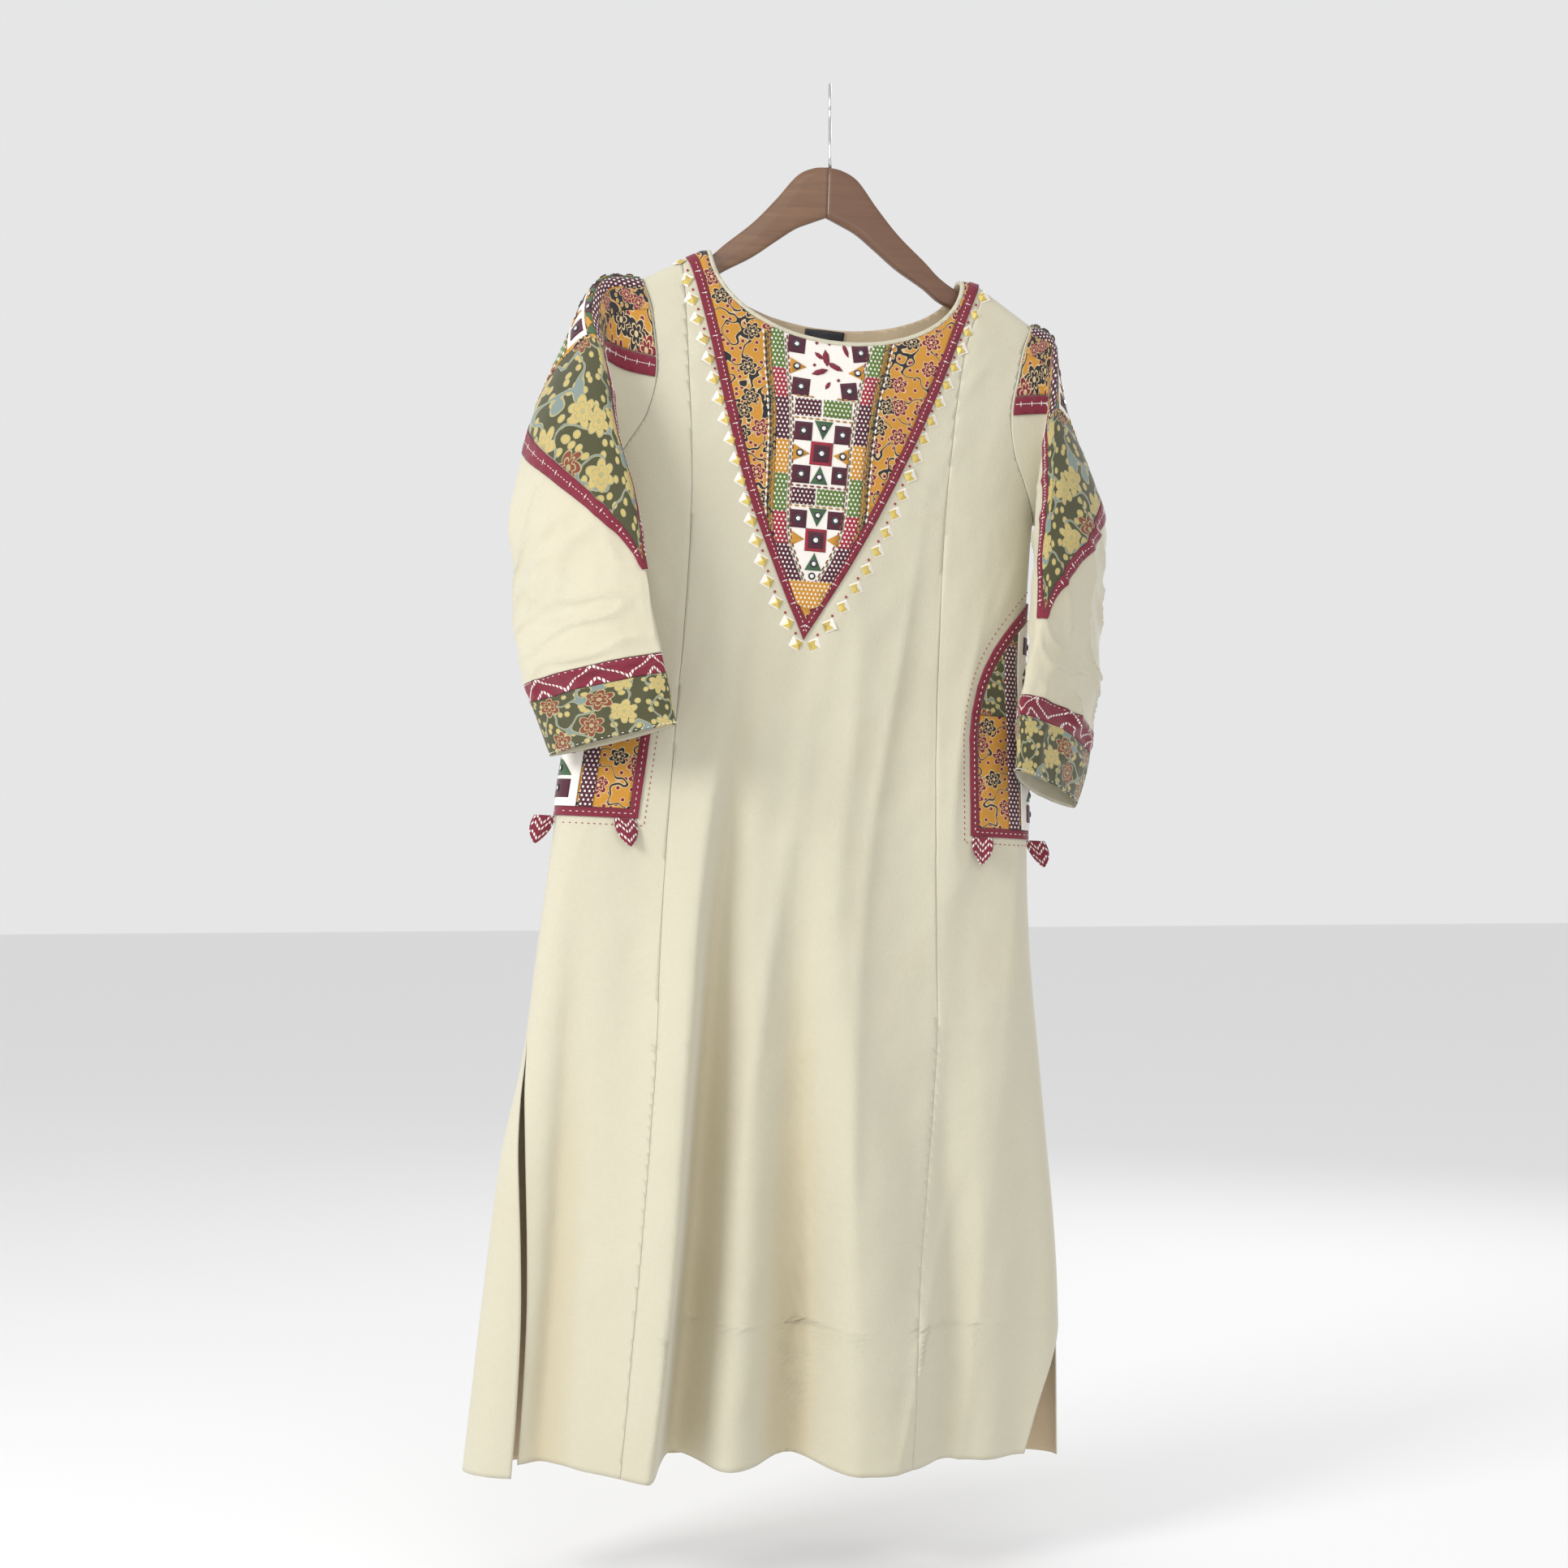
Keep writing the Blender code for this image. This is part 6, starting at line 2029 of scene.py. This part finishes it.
HANGER = (
    HangerTop(0.000, 0.0750, 0.049), HangerTop(0.014, 0.0770, 0.053), HangerTop(0.030, 0.0855, 0.052),
    HangerTop(0.050, 0.1100, 0.042), HangerTop(0.072, 0.1345, 0.034), HangerTop(0.100, 0.1590, 0.026),
    HangerTop(0.115, 0.1730, 0.023), HangerTop(0.134, 0.1845, 0.019), HangerTop(0.150, 0.1900, 0.019),
    HangerTop(0.175, 0.2030, 0.018), HangerTop(0.198, 0.2165, 0.017), HangerTop(0.206, 0.2220, 0.015),
)

HOOK_STEM = (                        # the wire's way up out of the wood: aside and height
    (0.0, -0.0786), (0.0, -0.066), (0.0, -0.058),
    (0.0004, -0.054), (0.0015, -0.0505), (0.0036, -0.0470),
)


def loft(rings: Sequence[Sequence[Vector]]) -> bmesh.types.BMesh:
    """A closed tube through rings of points, with both ends capped."""
    bm = bmesh.new()
    columns = len(rings[0]) + 1
    made = Sheet.lay(bm, [[*ring, ring[0]] for ring in rings])
    for index, vert in enumerate(made):
        ring = rings[index // columns]
        vert.co = ring[index % columns % len(ring)]
    bmesh.ops.remove_doubles(bm, verts=bm.verts, dist=1e-7)
    ends = [edge for edge in bm.edges if edge.is_boundary]
    bmesh.ops.edgeloop_fill(bm, edges=ends)
    bmesh.ops.recalc_face_normals(bm, faces=bm.faces)
    return bm


@dataclass
class Hanger:
    """The wooden hanger in two halves and its steel hook."""
    half_thick: float = 0.0050
    roll: float = math.radians(1.8)
    sink: float = 0.0038
    roundness: float = 4.0
    rounding: float = 0.006          # how far in from its tip an arm starts to round off
    wire: float = 0.0016
    radius: float = 0.0221
    turn: float = math.radians(15)
    start: float = math.radians(-48)
    end: float = math.radians(200)

    def arm(self, side: Side, finish: Finish) -> None:
        """Show one wooden half."""
        rolled = Matrix.Rotation(self.roll, 4, "Y")
        last = HANGER[-1].out
        outs = [SEAM / 2 + (last - self.rounding) * index / 70 for index in range(71)]
        ends = []
        for step in range(1, 7):
            out = last - self.rounding * (1 - math.sin(math.pi / 2 * step / 6))
            ends.append((out, math.cos(math.pi / 2 * step / 6.3)))
        rings = []
        for out, share in [(out, 1.0) for out in outs] + ends:
            row = read(HANGER, out)
            middle = -row.drop - self.sink - row.height / 2
            ring = []
            for index in range(32):
                turn = math.tau * index / 32
                thick = self.half_thick * share ** 0.5 * signed_power(math.cos(turn), 2 / self.roundness)
                tall = row.height / 2 * share * signed_power(math.sin(turn), 2 / (self.roundness * 2))
                ring.append(rolled @ Vector((side.value * out, thick, middle + tall)))
            rings.append(ring)
        show("wood_arm_" + side.word, loft(rings), [finish], "hanger_arm_" + side.word, "wood")

    def hook(self) -> None:
        """Show the bent wire."""
        centre = self.wire - self.radius
        path = list(HOOK_STEM)
        for index in range(73):
            turn = mix(self.start, self.end, index / 72)
            path.append((self.radius * math.cos(turn), centre + self.radius * math.sin(turn)))
        spots = [Vector((d * math.sin(self.turn), d * math.cos(self.turn), z)) for d, z in path]
        aside = Vector((math.cos(self.turn), -math.sin(self.turn), 0.0))
        rings = []
        for index, spot in enumerate(spots):
            along = (spots[min(index + 1, len(spots) - 1)] - spots[max(index - 1, 0)]).normalized()
            second = along.cross(aside).normalized()
            turns = [math.tau * k / 14 for k in range(14)]
            rings.append([spot + (aside * math.cos(t) + second * math.sin(t)) * self.wire for t in turns])
        show("hook_wire", loft(rings), [STEEL], "hook", "steel")

    def build(self) -> None:
        """Show both arms and the hook."""
        self.arm(Side.LEFT, WOOD_LEFT)
        self.arm(Side.RIGHT, WOOD_RIGHT)
        self.hook()


@dataclass
class Label:
    """The blank label that hangs inside the back neck."""
    body: Body
    width: float = 0.039
    height: float = 0.020
    thick: float = 0.0010
    shift: float = -0.006

    def build(self) -> None:
        """Show the label."""
        rows = []
        for down in range(9):
            drop = self.body.shoulder + self.body.neck_back + 0.001 + self.height * down / 8
            offsets = [self.shift + self.width * (column / 12 - 0.5) for column in range(13)]
            rows.append([
                Spot(self.body.point(self.body.angle_at(offset, drop), drop, Face.BACK), (offset, drop))
                for offset in offsets
            ])
        high = -CLOTH - LIE
        bm = Sheet(rows, outward=Vector((0.0, 1.0, 0.0))).ground()
        Piece("label_satin_tab", LABEL, high - self.thick, high, "neck_label", "black").build(bm)


@dataclass
class Studio:
    """A pale floor, soft lights and the camera at the photo's angle."""
    floor_drop: float = 1.42
    floor_half: float = 20.0
    sky: tuple[float, float, float, float] = (0.99, 0.99, 1.0, 1.0)
    sky_strength: float = 0.80
    camera_place: Vector = field(default_factory=lambda: Vector((-0.64704761, -2.41481457, -0.74022)))
    camera_turn: tuple[float, float, float] = (math.radians(91.5), 0.0, math.radians(-13.98))
    lens: float = 59.72

    def build(self) -> None:
        """Set the studio up round the object."""
        bm = bmesh.new()
        level = Matrix.Translation((0.0, 0.0, -self.floor_drop))
        bmesh.ops.create_grid(bm, x_segments=1, y_segments=1, size=self.floor_half, matrix=level)
        mesh = bpy.data.meshes.new("floor")
        bm.to_mesh(mesh)
        bm.free()
        mesh.materials.append(PALE.build())
        floor = bpy.data.objects.new("floor", mesh)
        bpy.context.scene.collection.objects.link(floor)
        self.light("key", Vector((-2.7, -1.5, 0.5)), 1.1, 58.0)
        self.light("front", Vector((-0.2, -3.2, 0.6)), 1.8, 16.0)
        self.light("rim", Vector((1.6, 1.8, 0.6)), 1.6, 16.0)
        world = bpy.data.worlds.new("studio")
        world.use_nodes = True
        background = world.node_tree.nodes["Background"]
        background.inputs["Color"].default_value = self.sky
        background.inputs["Strength"].default_value = self.sky_strength
        bpy.context.scene.world = world
        bpy.context.scene.view_settings.view_transform = "Standard"
        data = bpy.data.cameras.new("photo_camera")
        data.lens = self.lens
        data.sensor_width = 36.0
        camera = bpy.data.objects.new("photo_camera", data)
        camera.location = self.camera_place
        camera.rotation_euler = self.camera_turn
        bpy.context.scene.collection.objects.link(camera)
        bpy.context.scene.camera = camera

    def light(self, name: str, place: Vector, size: float, power: float) -> None:
        """Add one soft lamp aimed at the middle of the garment."""
        data = bpy.data.lights.new(name, "AREA")
        data.size = size
        data.energy = power
        lamp = bpy.data.objects.new(name, data)
        lamp.location = place
        aim = Vector((0.0, 0.0, -0.7)) - place
        lamp.rotation_euler = aim.to_track_quat("-Z", "Y").to_euler()
        bpy.context.scene.collection.objects.link(lamp)


def main() -> None:
    """Build the whole visual model."""
    logging.basicConfig(level=logging.INFO, format="%(name)s: %(message)s")
    for item in list(bpy.data.objects):
        bpy.data.objects.remove(item, do_unlink=True)
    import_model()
    body = Body()
    body.build()
    for side in Side:
        Sleeve(body, side).build()
        Pocket(body, side).build()
    Yoke(body).build()
    Label(body).build()
    Hanger().build()
    Studio().build()


if __name__ == "__main__":
    main()
